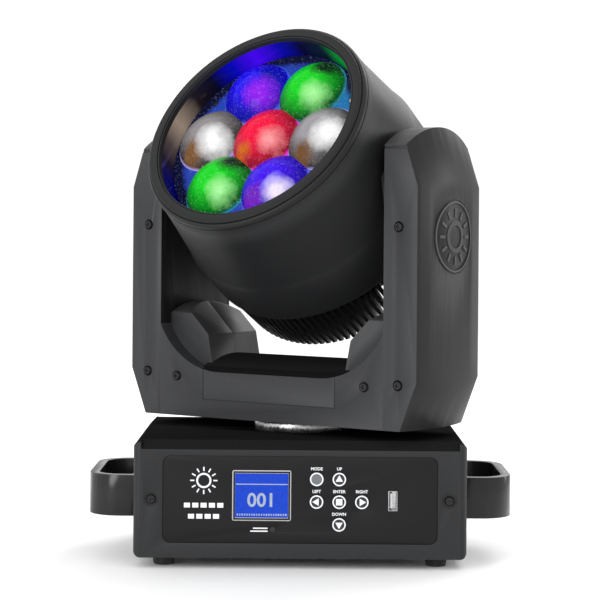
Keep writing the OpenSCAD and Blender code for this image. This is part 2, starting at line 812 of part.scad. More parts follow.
module yoke_screws() {
    color([0.08, 0.08, 0.08]) on_yoke() for (s = [0, 180]) rotate([0, 0, s]) for (x = [-1, 1]) {
        for (z = [yoke_z + 32.9, tilt_z - 31]) translate([x * screw_x, -arm_half + 0.7, z]) rotate([90, 0, 0])
            screw(screw_head_r, 1.5, yoke_wall + 4);
        translate([x * (arm_in - 16), -arm_half + 0.7, bridge_top - 4.4]) rotate([90, 0, 0])
            screw(screw_head_r, 1.5, yoke_wall + 4);
    }
}

module pan_motor() {
    top = gear_z + gear_h + 2 + frame_t;
    color([0.2, 0.2, 0.22]) on_yoke() translate([pan_motor_x, 0, top + 32]) rotate([180, 0, 0])
        stepper(pan_motor_w, 32, 2.5, 32 + gear_h + 4 - 32 + frame_t);
}

module pan_motor_pulley() {
    color([0.8, 0.8, 0.75]) on_yoke() translate([pan_motor_x, 0, gear_z])
        belt_wheel(pulley_teeth, 2.5 + run_gap);
}

module pan_belt() {
    color([0.05, 0.05, 0.05]) on_yoke() translate([0, 0, gear_z + 1.5])
        belt(gear_r, pulley_r, pan_motor_x);
}

module tilt_motor() {
    color([0.2, 0.2, 0.22]) on_yoke() translate([-frame_in + 34, 0, tilt_motor_z]) rotate([0, -90, 0])
        stepper(tilt_motor_w, 34, 2.5, drive_x - frame_in + gear_h + 1);
}

module tilt_motor_pulley() {
    color([0.8, 0.8, 0.75]) on_yoke() translate([-drive_x, 0, tilt_motor_z]) rotate([0, -90, 0])
        belt_wheel(pulley_teeth, 2.5 + run_gap);
}

module tilt_belt() {
    color([0.05, 0.05, 0.05]) on_yoke() translate([-drive_x - 1.5, 0, tilt_z]) rotate([0, 90, 180])
        belt(gear_r, pulley_r, tilt_z - tilt_motor_z);
}

module driver_board() {
    color(board_green) on_yoke() translate([frame_in + frame_t + 3, -26, yoke_z + 62]) {
        cube([1.6, 52, 84]);
        for (z = [8, 30, 52]) translate([1.6, 8, z]) cube([4, 14, 14]);
        for (z = [10, 34, 58]) translate([1.6, 38, z]) rotate([0, 90, 0]) cylinder(r = 5, h = 9);
        for (y = [4, 48], z = [3, 81]) translate([-3, y, z]) rotate([0, 90, 0]) cylinder(r = 2, h = 3);
    }
}

// ------------------------------------------------------------------- head

// Flat sides of the head
module flatten(inset) {
    intersection() {
        children();
        translate([-head_flat + inset, -2 * head_r, -2 * head_r])
            cube([2 * (head_flat - inset), 4 * head_r, 4 * head_r]);
    }
}

module head_shell() {
    ring_a = rim_a - 8;
    color(charcoal) on_head() difference() {
        flatten(0) rotate_extrude() polygon([
            [0, ring_a], [rim_r + 0.6, ring_a], [head_r - 1, waist_a], [head_r, waist_a - 4],
            [head_r, shell_rear + 2], [head_r - 1.5, shell_rear], [0, shell_rear]
        ]);
        flatten(shell_t) rotate_extrude() polygon([
            [0, ring_a + cut], [rim_r + 0.6 - shell_t, ring_a + cut], [head_r - 1 - shell_t, waist_a],
            [head_r - shell_t, waist_a - 4], [head_r - shell_t, shell_rear - cut], [0, shell_rear - cut]
        ]);
        for (s = [-1, 1]) translate([s * head_flat, 0, 0]) rotate([0, 90, 0])
            cylinder(r = trunnion_r, h = 4 * shell_t, center = true);
    }
}

module front_ring() {
    a = front_len;
    color(charcoal) on_head() rotate_extrude() polygon([
        [window_r, a], [window_r + 7.5, a], [window_r + 8.5, a - 1], [window_r + 8.5, a - 2.5],
        [rim_r - 1, a - 4], [rim_r + 0.5, a - 5.5], [rim_r + 0.6, rim_a - 8],
        [rim_r - 5, rim_a - 8], [rim_r - 5, rim_a - 3], [window_r + barrel_t + 1, rim_a - 3],
        [window_r + barrel_t + 1, rim_a], [window_r, rim_a]
    ]);
}

module lens_barrel() {
    color([0.02, 0.02, 0.03]) on_head() rotate_extrude() polygon([
        [window_r + 0.3, rim_a - 0.2], [window_r + barrel_t, rim_a - 0.2],
        [window_r + barrel_t, sink_a + 6], [head_r - 14, sink_a + 6], [head_r - 14, sink_a],
        [window_r + 0.3, sink_a]
    ]);
}

module heatsink() {
    step = 360 / fin_count;
    rear_r = head_r - 5;
    color([0.06, 0.06, 0.06]) on_head() {
        translate([0, 0, sink_a - 8]) cylinder(r = head_r - 14, h = 8);
        intersection() {
            translate([0, 0, -rear_len]) linear_extrude(rear_len + sink_a - 8) difference() {
                polygon([
                    for (i = [0 : fin_count - 1], k = [0 : 3])
                        let (t = step * (i + [0, 0.44, 0.5, 0.94][k]), r = k < 2 ? head_r - 3.2 : fin_root + 3)
                        [r * cos(t), r * sin(t)]
                ]);
                circle(fin_root);
            }
            flatten(shell_t + 0.5) rotate_extrude() polygon([
                [0, sink_a - 7], [head_r - 3.2, sink_a - 7], [head_r - 3.2, -50],
                [rear_r, -rear_len + 2], [rear_r - 2, -rear_len], [0, -rear_len]
            ]);
        }
    }
}

module fan_frame() {
    color([0.08, 0.08, 0.08]) on_head() translate([0, 0, -rear_len + 4]) {
        difference() {
            cylinder(r = fin_root, h = 25);
            translate([0, 0, -cut]) cylinder(r = fan_r, h = 25 + 2 * cut);
        }
        translate([0, 0, 22]) cylinder(r = 17, h = 3);
        for (t = [0 : 120 : 240]) rotate([0, 0, t]) translate([14, -2, 22]) cube([fan_r - 12, 4, 3]);
        translate([0, 0, 12]) cylinder(r = 3, h = 12);
    }
}

module fan_rotor() {
    blades = 7;
    color([0.12, 0.12, 0.12]) on_head() translate([0, 0, -rear_len + 7]) {
        difference() {
            cylinder(r = 18, h = 17);
            translate([0, 0, 3]) cylinder(r = 15, h = 15);
        }
        difference() {
            cylinder(r = 6, h = 14);
            translate([0, 0, 4]) cylinder(r = 3 + run_gap, h = 12);
        }
        for (i = [0 : blades - 1]) rotate([0, 0, i * 360 / blades]) translate([16.5, 0, 8])
            rotate([38, 0, 0]) translate([0, -1, -9]) cube([fan_r - 18.5, 2, 18]);
    }
}

module rear_grille() {
    color([0.1, 0.1, 0.1]) on_head() translate([0, 0, -rear_len + 1.5]) difference() {
        cylinder(r = fin_root - 0.5, h = 2.5);
        for (ring = [0 : 3]) difference() {
            translate([0, 0, -cut]) cylinder(r = 26 + ring * 9, h = 2.5 + 2 * cut);
            translate([0, 0, -2 * cut]) cylinder(r = 20 + ring * 9, h = 2.5 + 4 * cut);
            for (t = [0 : 45 : 135]) rotate([0, 0, t]) cube([300, 4, 20], center = true);
        }
    }
}

// The seven lens places, one in the middle and six around it
module each_lens() {
    children();
    for (k = [0 : 5]) rotate([0, 0, 60 * k]) translate([lens_pitch, 0, 0]) children();
}

module led_board() {
    color([0.9, 0.9, 0.88]) on_head() translate([0, 0, sink_a]) difference() {
        cylinder(r = window_r - 3, h = board_a - sink_a);
        for (k = [0 : 5]) rotate([0, 0, 60 * k + 30]) translate([lens_pitch * 0.58, 0, -cut])
            cylinder(r = 1.6, h = 5);
        for (k = [0 : 2]) rotate([0, 0, 120 * k + 30]) translate([rod_circle, 0, -cut]) cylinder(r = 2.6, h = 5);
    }
}

module led_emitters() {
    color([0.95, 0.95, 0.7]) on_head() translate([0, 0, board_a]) each_lens() {
        linear_extrude(1.2) square(12, center = true);
        translate([0, 0, 1.2]) linear_extrude(0.6) square(7, center = true);
    }
}

module mixing_rods() {
    color([0.8, 0.9, 1, 0.6]) on_head() translate([0, 0, board_a + 1.8]) each_lens() {
        cylinder(r1 = 4.5, r2 = 8, h = 12);
    }
}

module side_fairings() {
    color(charcoal) on_head() for (s = [0, 1]) mirror([s, 0, 0]) difference() {
        translate([head_flat, 0, 0]) rotate([0, 90, 0]) {
            linear_extrude(2) polygon([
                [-34, -18], [-18, -34], [18, -34], [34, -18], [34, 18], [18, 34], [-18, 34], [-34, 18]
            ]);
            translate([0, 0, 2]) rotate([0, 0, 22.5]) cylinder(r1 = 34, r2 = 23, h = boss_h - 2, $fn = 8);
        }
        translate([head_flat, 0, 0]) rotate([0, 90, 0]) cylinder(r = trunnion_r, h = 30, center = true);
    }
}

module trunnions() {
    color(steel) on_head() for (s = [0, 1]) mirror([s, 0, 0]) {
        length = s == 0 ? frame_in + 12 : drive_x + gear_h + 2;
        translate([head_flat - shell_t - 3, 0, 0]) rotate([0, 90, 0]) difference() {
            union() {
                cylinder(r = trunnion_r, h = length - head_flat + shell_t + 3);
                cylinder(r = trunnion_r + 8, h = 3);
            }
            translate([0, 0, -cut]) cylinder(r = trunnion_r - 4, h = 90);
        }
    }
}

module tilt_gear() {
    color([0.75, 0.75, 0.7]) on_head() translate([-drive_x, 0, 0]) rotate([0, -90, 0])
        belt_wheel(gear_teeth, trunnion_r);
}

module guide_rods() {
    color(steel) on_head() for (k = [1 : 2]) rotate([0, 0, 120 * k + 30])
        translate([rod_circle, 0, sink_a]) cylinder(r = 2.5, h = lens_plate_a + zoom_out - 1 - sink_a);
}

module zoom_motor() {
    color([0.25, 0.25, 0.27]) on_head() rotate([0, 0, 30]) translate([rod_circle, 0, board_a]) difference() {
        cylinder(r = 7, h = 9);
        translate([0, 0, 6]) cylinder(r = 1.5 + run_gap, h = 6);
    }
}

module lead_screw() {
    color([0.8, 0.75, 0.5]) on_head() rotate([0, 0, 30]) translate([rod_circle, 0, board_a + 6.5]) {
        cylinder(r = 1.5, h = 4);
        translate([0, 0, 3.5]) cylinder(r = 2.5, h = lens_plate_a + zoom_out - board_a - 11);
    }
}

module lens_carrier() {
    color([0.12, 0.12, 0.13]) on_head() translate([0, 0, lens_plate_a - carrier_t]) difference() {
        cylinder(r = window_r - 1, h = carrier_t);
        each_lens() translate([0, 0, -cut]) cylinder(r = lens_pitch / 2 - 4, h = carrier_t + 2 * cut);
        for (k = [1 : 2]) rotate([0, 0, 120 * k + 30]) translate([rod_circle, 0, -cut])
            cylinder(r = 2.5 + run_gap, h = 10);
        rotate([0, 0, 30]) translate([rod_circle, 0, -cut]) cylinder(r = 2.5 + run_gap, h = 10);
    }
}

module lens_array() {
    color([0.7, 0.8, 1, 0.5]) on_head() difference() {
        union() {
            translate([0, 0, lens_plate_a]) cylinder(r = window_r - 1, h = lens_plate_t);
            intersection() {
                translate([0, 0, lens_plate_a + 0.5]) cylinder(r = window_r - 1, h = lens_curve);
                each_lens() translate([0, 0, lens_a - lens_curve]) sphere(r = lens_curve);
            }
        }
        for (k = [0 : 2]) rotate([0, 0, 120 * k + 30]) translate([rod_circle, 0, lens_plate_a - cut])
            cylinder(r = 3, h = 30);
    }
}

base_shell();
bottom_plate();
front_panel();
rear_panel();
lcd_bezel();
lcd_display();
usb_port();
indicator_lens();
power_inlet();
power_outlet();
dmx_input();
dmx_output();
handles();
rubber_feet();
base_screws();
pan_collar();
pan_post();
pan_gear();
power_supply();
main_board();
control_board();
mode_button();
up_button();
down_button();
left_button();
right_button();
enter_button();
yoke_frame();
bridge_front_cover();
bridge_rear_cover();
arm_cover_left();
arm_cover_right();
inner_covers();
yoke_screws();
yoke_bearings();
pan_motor();
tilt_motor();
pan_belt();
tilt_belt();
driver_board();
pan_motor_pulley();
tilt_motor_pulley();
head_shell();
front_ring();
lens_barrel();
heatsink();
rear_grille();
fan_frame();
fan_rotor();
led_board();
led_emitters();
mixing_rods();
trunnions();
tilt_gear();
side_fairings();
guide_rods();
zoom_motor();
lead_screw();
lens_carrier();
lens_array();
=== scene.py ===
import bpy
import bmesh
import json
import math
import random
from mathutils import Matrix, Vector


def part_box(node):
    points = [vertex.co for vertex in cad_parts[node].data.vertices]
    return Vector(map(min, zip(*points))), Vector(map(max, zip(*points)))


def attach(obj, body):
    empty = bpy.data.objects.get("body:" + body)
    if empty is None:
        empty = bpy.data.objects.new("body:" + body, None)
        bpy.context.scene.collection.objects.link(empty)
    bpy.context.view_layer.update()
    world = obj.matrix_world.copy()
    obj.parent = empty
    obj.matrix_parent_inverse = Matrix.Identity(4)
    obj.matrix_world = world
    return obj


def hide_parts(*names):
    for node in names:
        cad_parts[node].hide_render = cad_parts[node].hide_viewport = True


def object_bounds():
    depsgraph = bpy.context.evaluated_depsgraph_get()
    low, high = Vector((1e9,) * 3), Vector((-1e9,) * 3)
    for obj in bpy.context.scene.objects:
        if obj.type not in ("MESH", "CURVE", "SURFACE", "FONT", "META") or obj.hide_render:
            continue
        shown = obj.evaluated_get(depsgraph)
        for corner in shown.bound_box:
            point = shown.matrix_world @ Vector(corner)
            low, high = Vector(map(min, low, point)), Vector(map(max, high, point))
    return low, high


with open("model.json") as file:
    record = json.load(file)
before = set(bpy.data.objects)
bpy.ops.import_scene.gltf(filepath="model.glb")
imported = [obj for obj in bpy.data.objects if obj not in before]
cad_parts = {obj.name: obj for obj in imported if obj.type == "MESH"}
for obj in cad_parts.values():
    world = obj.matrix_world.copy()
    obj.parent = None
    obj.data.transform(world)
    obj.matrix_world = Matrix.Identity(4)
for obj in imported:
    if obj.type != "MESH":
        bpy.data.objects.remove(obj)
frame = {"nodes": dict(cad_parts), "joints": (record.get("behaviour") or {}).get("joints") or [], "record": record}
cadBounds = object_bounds()
random.seed(7)
print("frame loaded")

scene = bpy.context.scene
nodes = frame["nodes"]
joints = {joint["name"]: joint for joint in frame["joints"]}


# where the head and the yoke stand, from the joints
tiltAxis = Vector(joints["tilt"]["axis"]).normalized()
tiltPoint = Vector(joints["tilt"]["pos_m"])
beamAxis = Vector(joints["zoom"]["axis"]).normalized()


def placeMatrix(origin, xAxis, zAxis):
    yAxis = zAxis.cross(xAxis)
    return Matrix.Translation(origin) @ Matrix((xAxis, yAxis, zAxis)).transposed().to_4x4()


headPlace = placeMatrix(tiltPoint, tiltAxis, beamAxis)
yokePlace = placeMatrix(Vector((0, 0, 0)), tiltAxis, Vector((0, 0, 1)))


# lowest and highest corner of a node in a turned place's own axes
def nodeSpan(node, place):
    inverse = place.inverted()
    corners = [inverse @ v.co for v in nodes[node].data.vertices]
    low = Vector([min(c[i] for c in corners) for i in range(3)])
    high = Vector([max(c[i] for c in corners) for i in range(3)])
    return low, high


cameraSettings = {
    "place": (-0.0017, -1.530, 0.2425),
    "lens": 120,
    "sensor": 36,
    "shiftY": -0.13,
    "roll": 0.008,
    "clip": (0.05, 200),
}

cameraData = bpy.data.cameras.new("camera")
cameraData.lens = cameraSettings["lens"]
cameraData.sensor_width = cameraSettings["sensor"]
cameraData.shift_y = cameraSettings["shiftY"]
cameraData.clip_start, cameraData.clip_end = cameraSettings["clip"]
camera = bpy.data.objects.new("camera", cameraData)
camera.matrix_world = (
    Matrix.Translation(cameraSettings["place"])
    @ Matrix.Rotation(math.radians(90), 4, "X")
    @ Matrix.Rotation(cameraSettings["roll"], 4, "Z")
)
scene.collection.objects.link(camera)
scene.camera = camera
scene.view_settings.view_transform = "Standard"

stageSettings = {
    "floorSize": 60,
    "floorGap": 0.0002,
    "floorColour": (0.98, 0.98, 0.98, 1),
    "floorRoughness": 0.55,
    "skyStrength": 1.06,
    "lampsAimAt": (0, 0, 0.2),
    "lights": [
        # name, place, size, watts
        ("keyLight", (-1.5, -1.9, 0.9), 1.0, 31),
        ("fillLight", (1.9, 0.35, 0.6), 0.5, 9),
        ("backLight", (0.9, 1.5, 1.6), 1.2, 18),
    ],
}


def makeStage(settings):
    bm = bmesh.new()
    bmesh.ops.create_grid(bm, x_segments=2, y_segments=2, size=settings["floorSize"] / 2)
    mesh = bpy.data.meshes.new("floor")
    bm.to_mesh(mesh)
    bm.free()
    floor = bpy.data.objects.new("floor", mesh)
    floor.location.z = cadBounds[0].z - settings["floorGap"]
    scene.collection.objects.link(floor)
    material = bpy.data.materials.new("paleFloor")
    material.use_nodes = True
    shader = material.node_tree.nodes["Principled BSDF"]
    shader.inputs["Base Color"].default_value = settings["floorColour"]
    shader.inputs["Roughness"].default_value = settings["floorRoughness"]
    mesh.materials.append(material)
    world = bpy.data.worlds.new("studio")
    world.use_nodes = True
    background = world.node_tree.nodes["Background"]
    background.inputs["Color"].default_value = (1, 1, 1, 1)
    background.inputs["Strength"].default_value = settings["skyStrength"]
    scene.world = world
    for name, place, size, watts in settings["lights"]:
        lamp = bpy.data.lights.new(name, "AREA")
        lamp.size = size
        lamp.energy = watts
        holder = bpy.data.objects.new(name, lamp)
        holder.location = place
        aim = Vector(settings["lampsAimAt"]) - Vector(place)
        holder.rotation_euler = aim.to_track_quat("-Z", "Y").to_euler()
        scene.collection.objects.link(holder)


makeStage(stageSettings)
print("stage ready")


def newMaterial(name):
    material = bpy.data.materials.new(name)
    material.use_nodes = True
    tree = material.node_tree
    return material, tree, tree.nodes["Principled BSDF"]


def objectCoordinates(tree, scale=(1, 1, 1)):
    coordinates = tree.nodes.new("ShaderNodeTexCoord")
    mapping = tree.nodes.new("ShaderNodeMapping")
    mapping.inputs["Scale"].default_value = scale
    tree.links.new(coordinates.outputs["Object"], mapping.inputs["Vector"])
    return mapping.outputs["Vector"]


def noiseOf(tree, vector, scale, detail=2, roughness=0.5):
    noise = tree.nodes.new("ShaderNodeTexNoise")
    noise.inputs["Scale"].default_value = scale
    noise.inputs["Detail"].default_value = detail
    noise.inputs["Roughness"].default_value = roughness
    tree.links.new(vector, noise.inputs["Vector"])
    return noise.outputs["Fac"]


def ranged(tree, value, low, high, fromLow=0.35, fromHigh=0.65):
    mapRange = tree.nodes.new("ShaderNodeMapRange")
    mapRange.inputs["From Min"].default_value = fromLow
    mapRange.inputs["From Max"].default_value = fromHigh
    mapRange.inputs["To Min"].default_value = low
    mapRange.inputs["To Max"].default_value = high
    tree.links.new(value, mapRange.inputs["Value"])
    return mapRange.outputs["Result"]


def blended(tree, factor, first, second):
    mix = tree.nodes.new("ShaderNodeMix")
    mix.data_type = "RGBA"
    for value, socket in ((first, mix.inputs[6]), (second, mix.inputs[7])):
        if isinstance(value, bpy.types.NodeSocket):
            tree.links.new(value, socket)
        else:
            socket.default_value = (*value, 1)
    if isinstance(factor, bpy.types.NodeSocket):
        tree.links.new(factor, mix.inputs[0])
    else:
        mix.inputs[0].default_value = factor
    return mix.outputs[2]


def bumped(tree, shader, height, strength, distance):
    bump = tree.nodes.new("ShaderNodeBump")
    bump.inputs["Strength"].default_value = strength
    bump.inputs["Distance"].default_value = distance
    tree.links.new(height, bump.inputs["Height"])
    tree.links.new(bump.outputs["Normal"], shader.inputs["Normal"])


def tinted(colour, factor):
    return tuple(c * factor for c in colour)


def mouldedPlastic(name, colour, rough, grain, depth, variation, edgeLightening=0.0, shine=0.5):
    material, tree, shader = newMaterial(name)
    vector = objectCoordinates(tree)
    fine = noiseOf(tree, vector, grain, 3, 0.6)
    broad = noiseOf(tree, vector, 14, 3)
    darker, lighter = tinted(colour, 1 - variation), tinted(colour, 1 + variation)
    base = blended(tree, ranged(tree, fine, 0, 1, 0.3, 0.7), darker, lighter)
    # sharp edges are coloured lighter by pointiness
    if edgeLightening:
        geometry = tree.nodes.new("ShaderNodeNewGeometry")
        edge = ranged(tree, geometry.outputs["Pointiness"], 0, edgeLightening, 0.52, 0.6)
        base = blended(tree, edge, base, tuple(c * 3.5 + 0.03 for c in colour))
    tree.links.new(base, shader.inputs["Base Color"])
    tree.links.new(ranged(tree, broad, rough - 0.05, rough + 0.06), shader.inputs["Roughness"])
    shader.inputs["Specular IOR Level"].default_value = shine
    bumped(tree, shader, fine, 0.6, depth)
    return material


def workedMetal(name, colour, rough, stretch, scale, depth=0.00002, metallic=1.0):
    material, tree, shader = newMaterial(name)
    vector = objectCoordinates(tree, stretch)
    lines = noiseOf(tree, vector, scale, 3, 0.6)
    smudge = noiseOf(tree, objectCoordinates(tree), 35, 4)
    shade = blended(tree, ranged(tree, lines, 0, 1), tinted(colour, 0.86), colour)
    tree.links.new(shade, shader.inputs["Base Color"])
    tree.links.new(ranged(tree, smudge, rough * 0.75, rough * 1.35), shader.inputs["Roughness"])
    shader.inputs["Metallic"].default_value = metallic
    bumped(tree, shader, lines, 0.35, depth)
    return material


def rubberFinish(name, colour):
    material, tree, shader = newMaterial(name)
    vector = objectCoordinates(tree)
    fine = noiseOf(tree, vector, 2200, 2)
    dust = noiseOf(tree, vector, 60, 5, 0.7)
    dustColour = (0.12, 0.115, 0.11)
    shade = blended(tree, ranged(tree, dust, 0, 0.5, 0.5, 0.75), colour, dustColour)
    tree.links.new(shade, shader.inputs["Base Color"])
    tree.links.new(ranged(tree, fine, 0.75, 0.9), shader.inputs["Roughness"])
    bumped(tree, shader, fine, 0.5, 0.00005)
    return material


def boardFinish(name, colour):
    material, tree, shader = newMaterial(name)
    vector = objectCoordinates(tree)
    brick = tree.nodes.new("ShaderNodeTexBrick")
    brick.inputs["Scale"].default_value = 130
    brick.inputs["Mortar Size"].default_value = 0.012
    brick.inputs["Color1"].default_value = (*colour, 1)
    brick.inputs["Color2"].default_value = (*tinted(colour, 0.8), 1)
    brick.inputs["Mortar"].default_value = (*tinted(colour, 2.2), 1)
    tree.links.new(vector, brick.inputs["Vector"])
    tree.links.new(brick.outputs["Color"], shader.inputs["Base Color"])
    tree.links.new(ranged(tree, noiseOf(tree, vector, 300), 0.3, 0.45), shader.inputs["Roughness"])
    bumped(tree, shader, brick.outputs["Fac"], 0.3, 0.00003)
    return material


def clearFinish(name, colour, rough=0.03):
    material, tree, shader = newMaterial(name)
    smear = noiseOf(tree, objectCoordinates(tree), 40, 3)
    shade = blended(tree, ranged(tree, smear, 0, 1), tinted(colour, 0.95), colour)
    tree.links.new(shade, shader.inputs["Base Color"])
    tree.links.new(ranged(tree, smear, rough, rough * 2.5), shader.inputs["Roughness"])
    shader.inputs["Transmission Weight"].default_value = 0.9
    shader.inputs["IOR"].default_value = 1.49
    return material


def litFinish(name, colour, strength, rough=0.25):
    material, tree, shader = newMaterial(name)
    speck = noiseOf(tree, objectCoordinates(tree), 900, 2)
    shade = blended(tree, ranged(tree, speck, 0, 1), tinted(colour, 0.8), colour)
    tree.links.new(blended(tree, 0.9, shade, (0.01, 0.01, 0.01)), shader.inputs["Base Color"])
    tree.links.new(shade, shader.inputs["Emission Color"])
    shader.inputs["Specular IOR Level"].default_value = 0.1
    shader.inputs["Emission Strength"].default_value = strength
    shader.inputs["Roughness"].default_value = rough
    return material


plasticSettings = {
    # colour, roughness, grain, bump depth, variation, lighter sharp edges, shine
    "charcoalPlastic": ((0.027, 0.0275, 0.029), 0.44, 1500, 0.00007, 0.25, 0.3, 0.17),
    # painted shade: darker copy of the plastic for the upward faces of the base and bridge
    "topPlastic": ((0.0115, 0.0115, 0.012), 0.45, 1500, 0.00004, 0.25, 0.1, 0.0),
    "basePlastic": ((0.0215, 0.022, 0.023), 0.44, 1500, 0.00007, 0.25, 0.3, 0.14),
    # painted shade: darker copy of the plastic for the arms' sides
    "sidePlastic": ((0.0150, 0.0152, 0.016), 0.42, 1500, 0.00007, 0.25, 0.3, 0.1),
    "headPlastic": ((0.0125, 0.0128, 0.0135), 0.4, 1500, 0.00006, 0.22, 0.25, 0.12),
    "satinPanel": ((0.0095, 0.0095, 0.0105), 0.36, 2600, 0.00002, 0.1, 0.0, 0.15),
    "handlePlastic": ((0.012, 0.012, 0.013), 0.22, 1200, 0.00003, 0.15, 0.2, 0.25),
    "innerPlastic": ((0.012, 0.012, 0.013), 0.55, 1200, 0.00005, 0.18, 0.0, 0.12),
    "glossBlack": ((0.004, 0.004, 0.005), 0.06, 600, 0.000004, 0.1),
    "powderCoat": ((0.045, 0.045, 0.048), 0.55, 1000, 0.0001, 0.15, 0.2),
    "silverPlastic": ((0.42, 0.42, 0.42), 0.28, 1800, 0.00002, 0.05),
    "keyPlastic": ((0.012, 0.0122, 0.013), 0.35, 1800, 0.00002, 0.1),
    "keyGrey": ((0.13, 0.14, 0.15), 0.35, 1800, 0.00002, 0.1),
    "blueSocket": ((0.02, 0.09, 0.36), 0.35, 1500, 0.00003, 0.1),
    "greySocket": ((0.35, 0.36, 0.38), 0.38, 1500, 0.00003, 0.1),
    "whiteInk": ((0.75, 0.76, 0.78), 0.5, 2500, 0.00001, 0.04),
    "indicatorClear": ((0.006, 0.006, 0.0065), 0.15, 2500, 0.00001, 0.05),
}
metalSettings = {
    # colour, roughness, stretch, grain, bump depth, metallic
    "finAluminium": ((0.008, 0.008, 0.009), 0.42, (1, 1, 1), 700, 0.00003, 0.3),
    "blackSteel": ((0.03, 0.03, 0.032), 0.32, (1, 1, 1), 1200, 0.00002, 0.8),
    "nickel": ((0.6, 0.6, 0.61), 0.25, (1, 1, 6), 700),
    "polishedSteel": ((0.62, 0.62, 0.63), 0.24, (1, 1, 14), 500, 0.00001),
    "machinedSteel": ((0.5, 0.51, 0.53), 0.28, (1, 1, 10), 600),
    "machinedAluminium": ((0.66, 0.66, 0.67), 0.34, (1, 8, 1), 600),
    "zincPlate": ((0.42, 0.42, 0.4), 0.4, (1, 1, 1), 240, 0.00003),
    "brassScrew": ((0.7, 0.52, 0.24), 0.25, (1, 1, 1), 900),
    "motorBlack": ((0.03, 0.03, 0.033), 0.4, (1, 1, 5), 500, 0.00003, 0.3),
}
rubberSettings = {
    # colour
    "footRubber": ((0.012, 0.012, 0.012),),
    "beltRubber": ((0.02, 0.02, 0.02),),
}
boardSettings = {
    # colour
    "greenBoard": ((0.01, 0.13, 0.05),),
    "whiteBoard": ((0.3, 0.3, 0.29),),
}
clearSettings = {
    # colour
    "clearRod": ((0.93, 0.96, 1.0),),
}
litSettings = {
    # colour, strength, roughness
    "emitter": ((1.0, 0.86, 0.45), 2.0),
    "screenBlue": ((0.001, 0.055, 0.62), 1.0, 0.12),
    "screenPale": ((0.42, 0.50, 0.62), 1.0, 0.2),
}
finishes = {}
for makeFinish, table in (
    (mouldedPlastic, plasticSettings),
    (workedMetal, metalSettings),
    (rubberFinish, rubberSettings),
    (boardFinish, boardSettings),
    (clearFinish, clearSettings),
    (litFinish, litSettings),
):
    for name, values in table.items():
        finishes[name] = makeFinish(name, *values)

nodeFinishes = {
    "charcoalPlastic": "arm_cover_left arm_cover_right bridge_front_cover bridge_rear_cover",
    "basePlastic": "base_shell",
    "headPlastic": "head_shell front_ring side_fairings",
    "satinPanel": "front_panel rear_panel",
    "handlePlastic": "handles",
    "innerPlastic": "lens_carrier fan_frame fan_rotor inner_covers",
    "glossBlack": "lens_barrel",
    "powderCoat": "bottom_plate",
    "silverPlastic": "lcd_bezel",
    "keyGrey": "mode_button",
    "keyPlastic": "up_button down_button left_button right_button enter_button",
    "blueSocket": "power_inlet",
    "greySocket": "power_outlet",
    "finAluminium": "heatsink",
    "blackSteel": "base_screws yoke_screws rear_grille",
    "nickel": "usb_port dmx_input dmx_output",
    "polishedSteel": "pan_collar guide_rods",
    "machinedSteel": "pan_post trunnions yoke_bearings",
    "machinedAluminium": "pan_gear tilt_gear pan_motor_pulley tilt_motor_pulley power_supply",
    "zincPlate": "yoke_frame",
    "brassScrew": "lead_screw",
    "motorBlack": "pan_motor tilt_motor zoom_motor",
    "footRubber": "rubber_feet",
    "beltRubber": "pan_belt tilt_belt",
    "greenBoard": "main_board control_board driver_board",
    "whiteBoard": "led_board",
    "clearRod": "mixing_rods lens_array",
    "emitter": "led_emitters",
    "screenBlue": "lcd_display",
    "indicatorClear": "indicator_lens",
}
finishOf = {node: finish for finish, names in nodeFinishes.items() for node in names.split()}
for node, holder in nodes.items():
    for materialSlot in holder.material_slots:
        materialSlot.material = finishes[finishOf[node]]
    if not holder.material_slots:
        holder.data.materials.append(finishes[finishOf[node]])
print("materials ready")


bodies = frame["record"]["behaviour"]["bodies"]
bodyOfNode = {node: body for body, members in bodies.items() for node in members}


def camelName(node):
    first, *rest = node.split("_")
    return first + "".join(word.capitalize() for word in rest)


# turns a finished bmesh into a piece that rides on a body
def finishPiece(name, bm, finish, body, place=None, sharpAngle=35):
    if place is not None:
        bmesh.ops.transform(bm, matrix=place, verts=bm.verts)
    for face in bm.faces:
        face.smooth = True
    for edge in bm.edges:
        if len(edge.link_faces) != 2 or edge.calc_face_angle(0) > math.radians(sharpAngle):
            edge.smooth = False
    mesh = bpy.data.meshes.new(name)
    bm.to_mesh(mesh)
    bm.free()
    piece = bpy.data.objects.new(name, mesh)
    for one in finish if isinstance(finish, list) else [finish]:
        mesh.materials.append(finishes[one] if isinstance(one, str) else one)
    scene.collection.objects.link(piece)
    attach(piece, body)
    return piece


# faces that lean up by more than this get the smoother, darker copy of the plastic: painted shade for the shade
# these tops lie in under the head and the yoke
paintedShadeTops = {
    "base_shell": 0.6,
    "bridge_front_cover": 0.35,
    "bridge_rear_cover": 0.35,
}
roundingSettings = {
    "segments": 2,
    "sharpFrom": 32,  # degrees
    "joinWithin": 0.000002,
    "flatWithin": 0.15,  # degrees
    "bridgeReach": 0.062,  # half the bridge's span between the arms
    "sideLean": 0.75,
}


